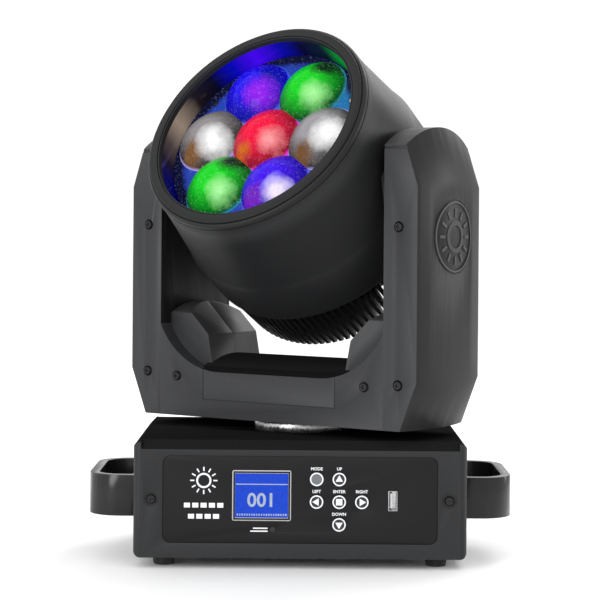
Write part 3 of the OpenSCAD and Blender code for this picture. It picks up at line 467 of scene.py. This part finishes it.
# the node's own shape with its sharp edges rounded
def roundedCopy(node, width, settings):
    bm = bmesh.new()
    bm.from_mesh(nodes[node].data)
    bmesh.ops.remove_doubles(bm, verts=bm.verts, dist=settings["joinWithin"])
    flatAngle = math.radians(settings["flatWithin"])
    bmesh.ops.dissolve_limit(bm, angle_limit=flatAngle, verts=bm.verts, edges=bm.edges)
    finish = finishOf[node]
    if node in paintedShadeTops:
        # painted shade: upward faces take the darker copy of the plastic
        finish = [finish, "topPlastic"]
        for face in bm.faces:
            across = abs((yokePlace.inverted() @ face.calc_center_median()).x)
            within = node == "base_shell" or across < settings["bridgeReach"]
            if face.normal.z > paintedShadeTops[node] and within:
                face.material_index = 1
    # painted shade: faces along the tilt axis, the arms' sides, take a darker copy of the plastic
    if node.startswith("arm_cover"):
        finish = [finish, "sidePlastic"]
        for face in bm.faces:
            if abs(face.normal.dot(tiltAxis)) > settings["sideLean"]:
                face.material_index = 1
    piece = finishPiece(camelName(node), bm, finish, bodyOfNode[node], sharpAngle=180)
    rounding = piece.modifiers.new("rounding", "BEVEL")
    rounding.width = width
    rounding.segments = settings["segments"]
    rounding.limit_method = "ANGLE"
    rounding.angle_limit = math.radians(settings["sharpFrom"])
    rounding.harden_normals = True
    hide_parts(node)


edgeRounding = {
    "base_shell": 0.0008,
    "arm_cover_left": 0.0010,
    "arm_cover_right": 0.0010,
    "bridge_front_cover": 0.0008,
    "bridge_rear_cover": 0.0008,
    "inner_covers": 0.0004,
    "front_panel": 0.0003,
    "rear_panel": 0.0003,
    "handles": 0.0020,
    "lcd_bezel": 0.0004,
    "side_fairings": 0.0006,
    "pan_collar": 0.0004,
    "rubber_feet": 0.0008,
    "usb_port": 0.0002,
    "bottom_plate": 0.0004,
    "dmx_input": 0.0003,
    "dmx_output": 0.0003,
    "power_inlet": 0.0004,
    "power_outlet": 0.0004,
}
for node, width in edgeRounding.items():
    roundedCopy(node, width, roundingSettings)
print("edges rounded")


# the casing and the front ring are turned round the beam
casingSettings = {
    "steps": 192,
    "wall": 0.0025,
    # distance from the axis and along the beam, front to back
    "outline": [
        (0.0916, 0.0670), (0.0929, 0.0550), (0.0949, 0.0400), (0.0971, 0.0240),
        (0.0992, 0.0098), (0.0999, 0.0062), (0.1009, 0.0035), (0.1010, -0.0300),
        (0.1004, -0.0325), (0.0995, -0.0330),
    ],
    # where the skin is pressed flat beside the arms
    "flat": 0.0940,
}

ringSettings = {
    "steps": 192,
    # from the window's lip over the face and back along the seat
    "outline": [
        (0.0805, 0.0750), (0.0805, 0.0793), (0.0807, 0.0795), (0.0814, 0.0795), (0.0816, 0.0793),
        (0.0816, 0.0788), (0.0820, 0.0788), (0.0820, 0.0797), (0.0823, 0.0800), (0.0874, 0.0800),
        (0.0880, 0.0798), (0.0885, 0.0793), (0.0887, 0.0786), (0.0887, 0.0776), (0.0892, 0.0776),
        (0.0892, 0.0781), (0.0896, 0.0782), (0.0907, 0.0774), (0.0913, 0.0764), (0.0915, 0.0752),
        (0.0915, 0.0740), (0.0911, 0.0738), (0.0911, 0.0733), (0.0916, 0.0731), (0.0916, 0.0671),
        (0.0860, 0.0671), (0.0860, 0.0720), (0.0835, 0.0720), (0.0835, 0.0750),
    ],
}


# spins an outline of distances from the axis and heights into a round shape
def turned(outline, steps, closed):
    bm = bmesh.new()
    verts = [bm.verts.new((r, 0, a)) for r, a in outline]
    edges = [bm.edges.new(pair) for pair in zip(verts, verts[1:])]
    if closed:
        edges.append(bm.edges.new((verts[-1], verts[0])))
    bmesh.ops.spin(
        bm, geom=verts + edges, cent=(0, 0, 0), axis=(0, 0, 1), angle=math.radians(360),
        steps=steps, use_merge=True,
    )
    bmesh.ops.recalc_face_normals(bm, faces=bm.faces)
    return bm


def makeCasing(settings):
    outline, wall, flat = settings["outline"], settings["wall"], settings["flat"]
    outer = turned(outline, settings["steps"], False)
    # flat sides: press the skin in to the plane
    for v in outer.verts:
        if abs(v.co.x) > flat:
            v.co.x = math.copysign(flat, v.co.x)
    inner = outer.copy()
    for v in inner.verts:
        reach = Vector((v.co.x, v.co.y)).length
        v.co.x *= (reach - wall) / reach
        v.co.y *= (reach - wall) / reach
        if abs(v.co.x) > flat - wall:
            v.co.x = math.copysign(flat - wall, v.co.x)
    outer.verts.index_update()
    count = len(outer.verts)
    rims = [(edge.verts[0].index, edge.verts[1].index) for edge in outer.edges if edge.is_boundary]
    part = bpy.data.meshes.new("part")
    inner.to_mesh(part)
    inner.free()
    outer.from_mesh(part)
    outer.verts.ensure_lookup_table()
    for first, second in rims:
        corners = (first, second, second + count, first + count)
        outer.faces.new([outer.verts[k] for k in corners])
    bmesh.ops.recalc_face_normals(outer, faces=outer.faces)
    piece = finishPiece("headCasing", outer, "headPlastic", "head", headPlace, 24)
    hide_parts("head_shell")


def makeFrontRing(settings):
    bm = turned(settings["outline"], settings["steps"], True)
    piece = finishPiece("ringFront", bm, "headPlastic", "head", headPlace, 24)
    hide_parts("front_ring")


makeCasing(casingSettings)
makeFrontRing(ringSettings)
print("casing and ring turned")


lensSettings = {
    "pitch": 0.050,
    "curve": 0.031,
    "spread": 1.07,
    "plateThickness": 0.003,
    "sink": 0.0004,  # how far a dome goes into the plate
    "seamGap": 0.00012,
    "rings": (64, 40),
    # one colour for the middle lens, then six going round from the tilt axis
    "colours": ["red", "white", "green", "violet", "warm", "green", "blue"],
    "rods": (0.072, 0.003),
}

# each look: core, body, rim, seam, then the bright spot's place and size,
# then a painted tint with its place and size, painted reflection in the brown, orange and pale patches and painted
# shade in the dark ones; places are in lens half-pitches
lensLooks = {
    "red": {
        "core": (1.0, 0.34, 0.36), "body": (0.92, 0.0, 0.05),
        "rim": (0.26, 0.0, 0.02), "seam": (1.0, 0.03, 0.75),
        "spot": (0.5, -0.3), "spotSize": 0.02,
        "tint": (0.62, 0.13, 0.0), "tintPlace": (-0.4, -0.68), "tintSize": 0.08,
    },
    "white": {
        "core": (1.0, 1.0, 1.0), "body": (0.34, 0.33, 0.35),
        "rim": (0.035, 0.03, 0.03), "seam": (0.35, 0.3, 0.75),
        "spot": (0.48, -0.12), "spotSize": 0.16,
        "tint": (0.16, 0.07, 0.02), "tintPlace": (-0.25, -0.75), "tintSize": 0.14,
    },
    "warm": {
        "core": (1.0, 1.0, 1.0), "body": (0.28, 0.26, 0.27),
        "rim": (0.03, 0.025, 0.025), "seam": (0.4, 0.33, 0.7),
        "spot": (0.42, -0.3), "spotSize": 0.16,
        "tint": (0.2, 0.09, 0.03), "tintPlace": (-0.25, -0.7), "tintSize": 0.2,
    },
    "green": {
        "core": (0.4, 0.95, 0.34), "body": (0.0, 0.68, 0.01),
        "rim": (0.0, 0.07, 0.008), "seam": (0.02, 0.22, 0.35),
        "spot": (0.42, -0.38), "spotSize": 0.04,
        "tint": (0.0, 0.02, 0.004), "tintPlace": (0.45, 0.75), "tintSize": 0.24,
    },
    "violet": {
        "core": (0.3, 0.01, 0.85), "body": (0.01, 0.0, 0.85),
        "rim": (0.0, 0.0, 0.3), "seam": (0.05, 0.12, 0.85),
        "spot": (0.42, -0.26), "spotSize": 0.16,
        "tint": (0.0, 0.0, 0.4), "tintPlace": (0.7, 0.55), "tintSize": 0.3,
    },
    "blue": {
        "core": (0.9, 0.8, 1.0), "body": (0.05, 0.0, 0.85),
        "rim": (0.01, 0.0, 0.3), "seam": (0.12, 0.14, 0.9),
        "spot": (0.47, -0.4), "spotSize": 0.08,
        "tint": (0.16, 0.01, 0.5), "tintPlace": (-0.3, -0.65), "tintSize": 0.2,
    },
}
plateLook = {
    "core": (0.1, 0.2, 0.8), "body": (0.03, 0.1, 0.7),
    "rim": (0.01, 0.04, 0.4), "seam": (0.0, 0.002, 0.03),
    "spot": (0, 0), "spotSize": 0.1,
    "tint": (0.01, 0.2, 0.5), "tintPlace": (0.9, 0.3), "tintSize": 0.3,
    "seamStart": 0.86,
}


# 1 inside an uneven round spot, falling to 0 round it
def spotOf(tree, plane, wobble, unevenness, place, size, soft):
    shift = tree.nodes.new("ShaderNodeVectorMath")
    shift.operation = "DISTANCE"
    shift.inputs[1].default_value = (*place, 0)
    tree.links.new(plane, shift.inputs[0])
    edge = tree.nodes.new("ShaderNodeMath")
    edge.operation = "MULTIPLY_ADD"
    edge.inputs[1].default_value = unevenness
    tree.links.new(wobble, edge.inputs[0])
    tree.links.new(shift.outputs["Value"], edge.inputs[2])
    middle = unevenness / 2
    return ranged(tree, edge.outputs[0], 1, 0, size + middle, size + middle + soft)


def lensFinish(name, look, strength):
    material, tree, shader = newMaterial(name)
    uvMap = tree.nodes.new("ShaderNodeUVMap")
    uvMap.uv_map = "lensMap"
    plane = uvMap.outputs["UV"]
    wobble = noiseOf(tree, objectCoordinates(tree), 110, 4, 0.6)
    grit = noiseOf(tree, objectCoordinates(tree), 620, 4, 0.7)
    inside = spotOf(tree, plane, wobble, 0.3, (0, 0), 0.4, 0.66)
    # painted reflection and painted shade: a patch of the tint colour
    tint = spotOf(tree, plane, wobble, 0.6, look["tintPlace"], look["tintSize"], 0.32)
    bright = spotOf(tree, plane, wobble, 0.45, look["spot"], look["spotSize"], 0.5)
    withinSeam = spotOf(tree, plane, wobble, 0.08, (0, 0), look.get("seamStart", 1.07), 0.06)
    glow = blended(tree, inside, look["rim"], look["body"])
    glow = blended(tree, tint, glow, look["tint"])
    glow = blended(tree, bright, glow, look["core"])
    glow = blended(tree, withinSeam, look["seam"], glow)
    # mottling of dust and moulded facets
    fleck = ranged(tree, grit, 0, 0.55, 0.56, 0.74)
    glow = blended(tree, fleck, glow, tuple(min(1, c * 0.6 + 0.3) for c in look["body"]))
    dark = ranged(tree, grit, 0.5, 0, 0.27, 0.42)
    glow = blended(tree, dark, glow, tinted(look["rim"], 0.35))
    tree.links.new(glow, shader.inputs["Emission Color"])
    tree.links.new(blended(tree, 0.97, glow, (0.004, 0.004, 0.004)), shader.inputs["Base Color"])
    shader.inputs["Emission Strength"].default_value = strength
    shader.inputs["Roughness"].default_value = 0.07
    shader.inputs["Specular IOR Level"].default_value = 0.04
    bumped(tree, shader, wobble, 0.2, 0.0004)
    return material


# drops what lies on the normal's side of a plane and closes the cut
def cutWith(bm, point, normal):
    bmesh.ops.bisect_plane(
        bm, geom=bm.verts[:] + bm.edges[:] + bm.faces[:], dist=0.0000001,
        plane_co=point, plane_no=normal, clear_outer=True,
    )
    bmesh.ops.holes_fill(bm, edges=[edge for edge in bm.edges if edge.is_boundary], sides=0)


def makeLenses(settings):
    lowest, highest = nodeSpan("lens_array", headPlace)
    plateTop = lowest.z + settings["plateThickness"]
    plateRadius = highest.x
    pitch, curve = settings["pitch"], settings["curve"]
    centres = [Vector((0, 0, 0))]
    for k in range(6):
        a = math.radians(60 * k)
        centres.append(Vector((pitch * math.cos(a), pitch * math.sin(a), 0)))
    names = sorted(set(settings["colours"]))
    lensMaterials = [lensFinish("lens" + name.capitalize(), lensLooks[name], 1.0) for name in names]
    plateMaterial = lensFinish("lensPlate", plateLook, 0.8)
    whole = bmesh.new()
    for centre, colour in zip(centres, settings["colours"]):
        bm = bmesh.new()
        around, upwards = settings["rings"]
        bmesh.ops.create_uvsphere(bm, u_segments=around, v_segments=upwards, radius=curve)
        bmesh.ops.scale(bm, vec=(settings["spread"], settings["spread"], 1), verts=bm.verts)
        bmesh.ops.translate(bm, vec=centre + Vector((0, 0, highest.z - curve)), verts=bm.verts)
        cutWith(bm, (0, 0, plateTop - settings["sink"]), (0, 0, -1))
        for other in centres:
            if 0 < (other - centre).length < pitch * 1.1:
                # a hair short of the shared plane, so that neighbours don't touch
                outward = (other - centre).normalized()
                cutWith(bm, (other + centre) / 2 - outward * settings["seamGap"], outward)
        bmesh.ops.recalc_face_normals(bm, faces=bm.faces)
        uvLayer = bm.loops.layers.uv.new("lensMap")
        for face in bm.faces:
            face.material_index = names.index(colour)
            for loop in face.loops:
                local = (loop.vert.co - centre) / (pitch / 2)
                loop[uvLayer].uv = (local.x, local.y)
        part = bpy.data.meshes.new("part")
        bm.to_mesh(part)
        bm.free()
        whole.from_mesh(part)
    # the plate, with holes for the two rods and the screw
    bm = bmesh.new()
    bmesh.ops.create_circle(bm, segments=128, radius=plateRadius)
    rodCircle, holeRadius = settings["rods"]
    for turn in (30, 150, 270):
        a = math.radians(turn)
        hole = bmesh.ops.create_circle(bm, segments=32, radius=holeRadius)
        place = (rodCircle * math.cos(a), rodCircle * math.sin(a), 0)
        bmesh.ops.translate(bm, vec=place, verts=hole["verts"])
    bmesh.ops.triangle_fill(
        bm, use_beauty=True, use_dissolve=False, edges=bm.edges[:], normal=(0, 0, 1),
    )
    raised = bmesh.ops.extrude_face_region(bm, geom=bm.faces[:])
    top = [item for item in raised["geom"] if isinstance(item, bmesh.types.BMVert)]
    bmesh.ops.translate(bm, vec=(0, 0, settings["plateThickness"]), verts=top)
    bmesh.ops.translate(bm, vec=(0, 0, lowest.z), verts=bm.verts)
    bmesh.ops.recalc_face_normals(bm, faces=bm.faces)
    uvLayer = bm.loops.layers.uv.new("lensMap")
    for face in bm.faces:
        face.material_index = len(names)
        for loop in face.loops:
            loop[uvLayer].uv = (loop.vert.co.x / plateRadius, loop.vert.co.y / plateRadius)
    part = bpy.data.meshes.new("part")
    bm.to_mesh(part)
    bm.free()
    whole.from_mesh(part)
    looks = lensMaterials + [plateMaterial]
    piece = finishPiece("lensDomes", whole, looks, "zoom_optics", headPlace, 25)
    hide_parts("lens_array")


makeLenses(lensSettings)
print("lenses made")


# the lenses' light is painted on the barrel's glossy wall: painted reflection, glowing by angle round the beam
barrelSettings = {
    "steps": 160,
    "inner": 0.0808,
    "outer": 0.0825,
    "front": 0.0748,
    "lip": 0.0002,
    "flange": 0.006,
    "wellStep": 0.04,
    "glowStart": 0.055,
    "glowReach": 0.02,
    "glowStrength": 0.9,
    # degrees round the beam and the painted light of the lenses there
    "glow": [
        (0, (0.0, 0.02, 0.03)), (28, (0.0, 0.2, 0.34)), (44, (0.0, 0.3, 0.1)),
        (62, (0.0, 0.24, 0.02)), (75, (0.0, 0.01, 0.02)), (90, (0.0, 0.0, 0.03)),
        (104, (0.0, 0.0, 0.4)), (118, (0.06, 0.0, 0.9)), (132, (0.0, 0.0, 0.5)),
        (146, (0.0, 0.0, 0.01)), (160, (0.01, 0.006, 0.005)), (176, (0.30, 0.23, 0.18)),
        (190, (0.07, 0.05, 0.045)), (201, (0.01, 0.006, 0.02)), (214, (0.0, 0.0, 0.1)),
        (236, (0.0, 0.0, 0.04)), (360, (0.0, 0.02, 0.03)),
    ],
}


def paintBarrelLight(name, settings):
    material, tree, shader = newMaterial(name)
    uvMap = tree.nodes.new("ShaderNodeUVMap")
    uvMap.uv_map = "wallMap"
    parts = tree.nodes.new("ShaderNodeSeparateXYZ")
    tree.links.new(uvMap.outputs["UV"], parts.inputs[0])
    wave = noiseOf(tree, objectCoordinates(tree), 45, 3)
    around = tree.nodes.new("ShaderNodeMath")
    around.operation = "MULTIPLY_ADD"
    around.inputs[1].default_value = 0.02
    tree.links.new(wave, around.inputs[0])
    tree.links.new(parts.outputs["X"], around.inputs[2])
    ramp = tree.nodes.new("ShaderNodeValToRGB")
    elements = ramp.color_ramp.elements
    first, *middle, last = settings["glow"]
    for element, (degrees, colour) in zip((elements[0], elements[1]), (first, last)):
        element.position = degrees / 360
        element.color = (*colour, 1)
    for degrees, colour in middle:
        elements.new(degrees / 360).color = (*colour, 1)
    tree.links.new(around.outputs[0], ramp.inputs["Fac"])
    # the painted light fades towards the lip and down in the well
    fade = ranged(tree, parts.outputs["Y"], 0, 1, -0.35, 0.25)
    glow = blended(tree, fade, (0.0, 0.0, 0.0), ramp.outputs["Color"])
    # painted reflection of the lenses' light, given to the wall as emission
    tree.links.new(glow, shader.inputs["Emission Color"])
    shader.inputs["Emission Strength"].default_value = settings["glowStrength"]
    shade = blended(tree, wave, (0.002, 0.002, 0.003), (0.006, 0.006, 0.007))
    tree.links.new(shade, shader.inputs["Base Color"])
    shader.inputs["Roughness"].default_value = 0.12
    shader.inputs["Specular IOR Level"].default_value = 0.15
    bumped(tree, shader, wave, 0.1, 0.0001)
    return material


def makeBarrel(settings):
    low, high = nodeSpan("lens_barrel", headPlace)
    inner, outer, front = settings["inner"], settings["outer"], settings["front"]
    lip, glowStart = settings["lip"], settings["glowStart"]
    rear, shoulder = low.z, low.z + settings["flange"]
    bm = turned([
        (inner, rear), (inner, rear + settings["wellStep"]),
        (inner, glowStart), (inner, front - lip),
        (inner + lip, front), (outer - lip, front), (outer, front - lip),
        (outer, shoulder), (high.x, shoulder), (high.x, rear),
    ], settings["steps"], True)
    uvLayer = bm.loops.layers.uv.new("wallMap")
    for face in bm.faces:
        middle = face.calc_center_median()
        middleTurn = math.atan2(middle.y, middle.x) % math.tau
        for loop in face.loops:
            co = loop.vert.co
            turn = math.atan2(co.y, co.x) % math.tau
            if abs(turn - middleTurn) > math.pi:
                turn += math.tau if turn < middleTurn else -math.tau
            loop[uvLayer].uv = (turn / math.tau, (co.z - glowStart) / settings["glowReach"])
    finish = paintBarrelLight("barrelGloss", settings)
    piece = finishPiece("opticsBarrel", bm, finish, "head", headPlace, 40)
    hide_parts("lens_barrel")


makeBarrel(barrelSettings)
print("barrel turned")


def flatRing(bm, outer, inner, segments=56):
    loops = []
    for radius in (outer, inner):
        loops.append(bmesh.ops.create_circle(bm, segments=segments, radius=radius)["verts"])
    for k in range(segments):
        far = (k + 1) % segments
        bm.faces.new((loops[0][k], loops[0][far], loops[1][far], loops[1][k]))


def flatPatch(bm, corners):
    bm.faces.new([bm.verts.new((x, y, 0)) for x, y in corners])


def flatBar(bm, x, y, width, height):
    left, right, low, high = x - width / 2, x + width / 2, y - height / 2, y + height / 2
    flatPatch(bm, [(left, low), (right, low), (right, high), (left, high)])


def flatArrow(bm, radius, turn):
    angles = [math.radians(turn + 120 * k) for k in range(3)]
    flatPatch(bm, [(radius * math.cos(a), radius * math.sin(a)) for a in angles])


# a ring and its rays, as shares of the radius
def sunMark(bm, radius, rays=12):
    flatRing(bm, radius * 0.56, radius * 0.42)
    for k in range(rays):
        a = math.radians(360 * k / rays)
        along, across = Vector((math.cos(a), math.sin(a))), Vector((-math.sin(a), math.cos(a)))
        ray = ((0.7, -0.05), (1.0, -0.05), (1.0, 0.05), (0.7, 0.05))
        flatPatch(bm, [along * radius * r + across * radius * w for r, w in ray])


# gives a flat mark its height
def thickened(bm, height):
    raised = bmesh.ops.extrude_face_region(bm, geom=bm.faces[:])
    top = [item for item in raised["geom"] if isinstance(item, bmesh.types.BMVert)]
    bmesh.ops.translate(bm, vec=(0, 0, height), verts=top)
    bmesh.ops.recalc_face_normals(bm, faces=bm.faces)


# stands a flat mark up, facing the front
def frontPlace(x, y, z):
    return Matrix.Translation((x, y, z)) @ Matrix.Rotation(math.radians(90), 4, "X")


def lettering(bm, text, size, weight, x, y, height):
    curve = bpy.data.curves.new("lettering", "FONT")
    curve.body = text
    curve.size = size
    curve.offset = weight
    curve.extrude = height / 2
    curve.align_x = "CENTER"
    curve.align_y = "CENTER"
    curve.resolution_u = 3
    holder = bpy.data.objects.new("lettering", curve)
    mesh = bpy.data.meshes.new_from_object(holder)
    before = set(bm.verts)
    bm.from_mesh(mesh)
    fresh = [v for v in bm.verts if v not in before]
    bmesh.ops.translate(bm, vec=(x, y, height / 2), verts=fresh)
    bmesh.ops.remove_doubles(bm, verts=fresh, dist=0.0000001)
    bpy.data.objects.remove(holder)


markSettings = {
    "ink": 0.00006,
    "legendSize": 0.0030,
    "legendWeight": 0.00008,
    "legendRise": 0.0074,
    "legends": {
        "mode": "MODE", "up": "UP", "down": "DOWN",
        "left": "LEFT", "right": "RIGHT", "enter": "ENTER",
    },
    "ring": (0.00485, 0.0039),
    "arrowSize": 0.0031,
    "arrowTurns": {"up": 90, "down": -90, "left": 180, "right": 0},
    "enterSquare": 0.0046,
    "sunPlace": (-0.0695, 0.0135),
    "sunSize": 0.0098,
    # height below the sun and number of the short bars
    "barRows": ((-0.0178, 5), (-0.0258, 4)),
    "barPitch": 0.0060,
    "bar": (0.0044, 0.0034),
    # height and length of the two lines beside the indicator
    "lampLines": ((0.0009, 0.0105), (-0.0012, 0.0125)),
    "lampGap": 0.0035,
    "lineWeight": 0.0009,
}

screenSettings = {
    "step": 0.0012,
    "edge": 0.0008,
    "margin": (0.0050, 0.0056),
    "ruleRise": 0.26,
    "ruleWeight": 0.0007,
    "ticks": 21,
    "tickDrop": 0.45,
    "tickHeight": 0.0014,
    "tickShare": (0.45, 0.7),
    "digits": "001",
    "digitSize": 0.0138,
    "digitWeight": 0.00028,
    "digitPlace": (-0.0002, -0.0038),
}


def makeMarks(settings):
    ink = settings["ink"]
    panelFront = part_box("front_panel")[0].y
    legends = bmesh.new()
    for key, word in settings["legends"].items():
        low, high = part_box(key + "_button")
        x, z = (low.x + high.x) / 2, (low.z + high.z) / 2
        bm = bmesh.new()
        flatRing(bm, *settings["ring"])
        if key in settings["arrowTurns"]:
            flatArrow(bm, settings["arrowSize"], settings["arrowTurns"][key])
        if key == "enter":
            flatBar(bm, 0, 0, settings["enterSquare"], settings["enterSquare"])
        thickened(bm, ink)
        place = frontPlace(x, low.y, z)
        finishPiece(key + "Icon", bm, "whiteInk", key + "_key", place)
        size, weight = settings["legendSize"], settings["legendWeight"]
        lettering(legends, word, size, weight, x, z + settings["legendRise"], ink)
    panelMiddle = sum((corner.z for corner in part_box("front_panel")), 0) / 2
    mark = bmesh.new()
    sunX, sunRise = settings["sunPlace"]
    sunZ = panelMiddle + sunRise
    sunMark(mark, settings["sunSize"])
    for y, count in settings["barRows"]:
        for k in range(count):
            flatBar(mark, (k - (count - 1) / 2) * settings["barPitch"], y, *settings["bar"])
    # two short lines that point to the indicator
    lamp = sum(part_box("indicator_lens"), Vector()) / 2
    for rise, width in settings["lampLines"]:
        x = lamp.x - settings["lampGap"] - width / 2 - sunX
        flatBar(mark, x, lamp.z + rise - sunZ, width, settings["lineWeight"])
    thickened(mark, ink)
    bmesh.ops.translate(mark, vec=(sunX, sunZ, 0), verts=mark.verts)
    part = bpy.data.meshes.new("part")
    mark.to_mesh(part)
    mark.free()
    legends.from_mesh(part)
    place = frontPlace(0, panelFront, 0)
    finishPiece("panelPrint", legends, "whiteInk", "base", place)


def makeScreen(settings, ink):
    # a thin dark band inside the display's frame
    low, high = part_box("lcd_bezel")
    across, up = high.x - low.x, high.z - low.z
    bm = bmesh.new()
    step, edge = settings["step"], settings["edge"]
    for side in (-1, 1):
        flatBar(bm, side * (across / 2 - edge - step / 2), 0, step, up - 2 * edge)
        flatBar(bm, 0, side * (up / 2 - edge - step / 2), across - 2 * edge - 2 * step, step)
    thickened(bm, ink)
    middle = (low + high) / 2
    place = frontPlace(middle.x, low.y, middle.z)
    finishPiece("frameStep", bm, "satinPanel", "base", place)
    # what the display shows: a rule, a row of ticks and the number
    width, height = across - settings["margin"][0], up - settings["margin"][1]
    ticks = settings["ticks"]
    pitch = width / (ticks + 0.5)
    bm = bmesh.new()
    flatBar(bm, 0, height * settings["ruleRise"], width, settings["ruleWeight"])
    for k in range(ticks):
        tickWidth = pitch * random.uniform(*settings["tickShare"])
        x, y = (k - ticks // 2) * pitch, -height * settings["tickDrop"]
        flatBar(bm, x, y, tickWidth, settings["tickHeight"])
    thickened(bm, ink)
    digitSize, digitWeight = settings["digitSize"], settings["digitWeight"]
    lettering(bm, settings["digits"], digitSize, digitWeight, *settings["digitPlace"], ink)
    place = frontPlace(middle.x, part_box("lcd_display")[0].y, middle.z)
    finishPiece("screenMarks", bm, "screenPale", "base", place)


discSettings = {
    "ring": (0.0258, 0.0246),
    "steps": 96,
    "sunSize": 0.0205,
    "height": 0.0007,
    "longEdge": 0.002,
    "armCurve": 0.205,
    "drop": 0.038,  # below the tilt axis
}


# a raised ring and sun on the arm's outer side, bent to its curve
def makeArmDisc(side, node, settings):
    lowest, highest = nodeSpan(node, yokePlace)
    outer = highest.x if side > 0 else -lowest.x
    bm = bmesh.new()
    flatRing(bm, *settings["ring"], settings["steps"])
    sunMark(bm, settings["sunSize"])
    longEdges = [edge for edge in bm.edges if edge.calc_length() > settings["longEdge"]]
    bmesh.ops.subdivide_edges(bm, edges=longEdges, cuts=2, use_grid_fill=True)
    thickened(bm, settings["height"])
    turn = Matrix((Vector((0, side, 0)), Vector((0, 0, 1)), Vector((side, 0, 0)))).transposed()
    place = Matrix.Translation((side * outer, 0, tiltPoint.z - settings["drop"]))
    bmesh.ops.transform(bm, matrix=place @ turn.to_4x4(), verts=bm.verts)
    for v in bm.verts:
        v.co.x -= side * v.co.y ** 2 / (2 * settings["armCurve"])
    bmesh.ops.recalc_face_normals(bm, faces=bm.faces)
    name = "armDiscRight" if side > 0 else "armDiscLeft"
    finishPiece(name, bm, "charcoalPlastic", "yoke", yokePlace)


makeMarks(markSettings)
makeScreen(screenSettings, markSettings["ink"])
makeArmDisc(1, "arm_cover_right", discSettings)
makeArmDisc(-1, "arm_cover_left", discSettings)
print("marks made")
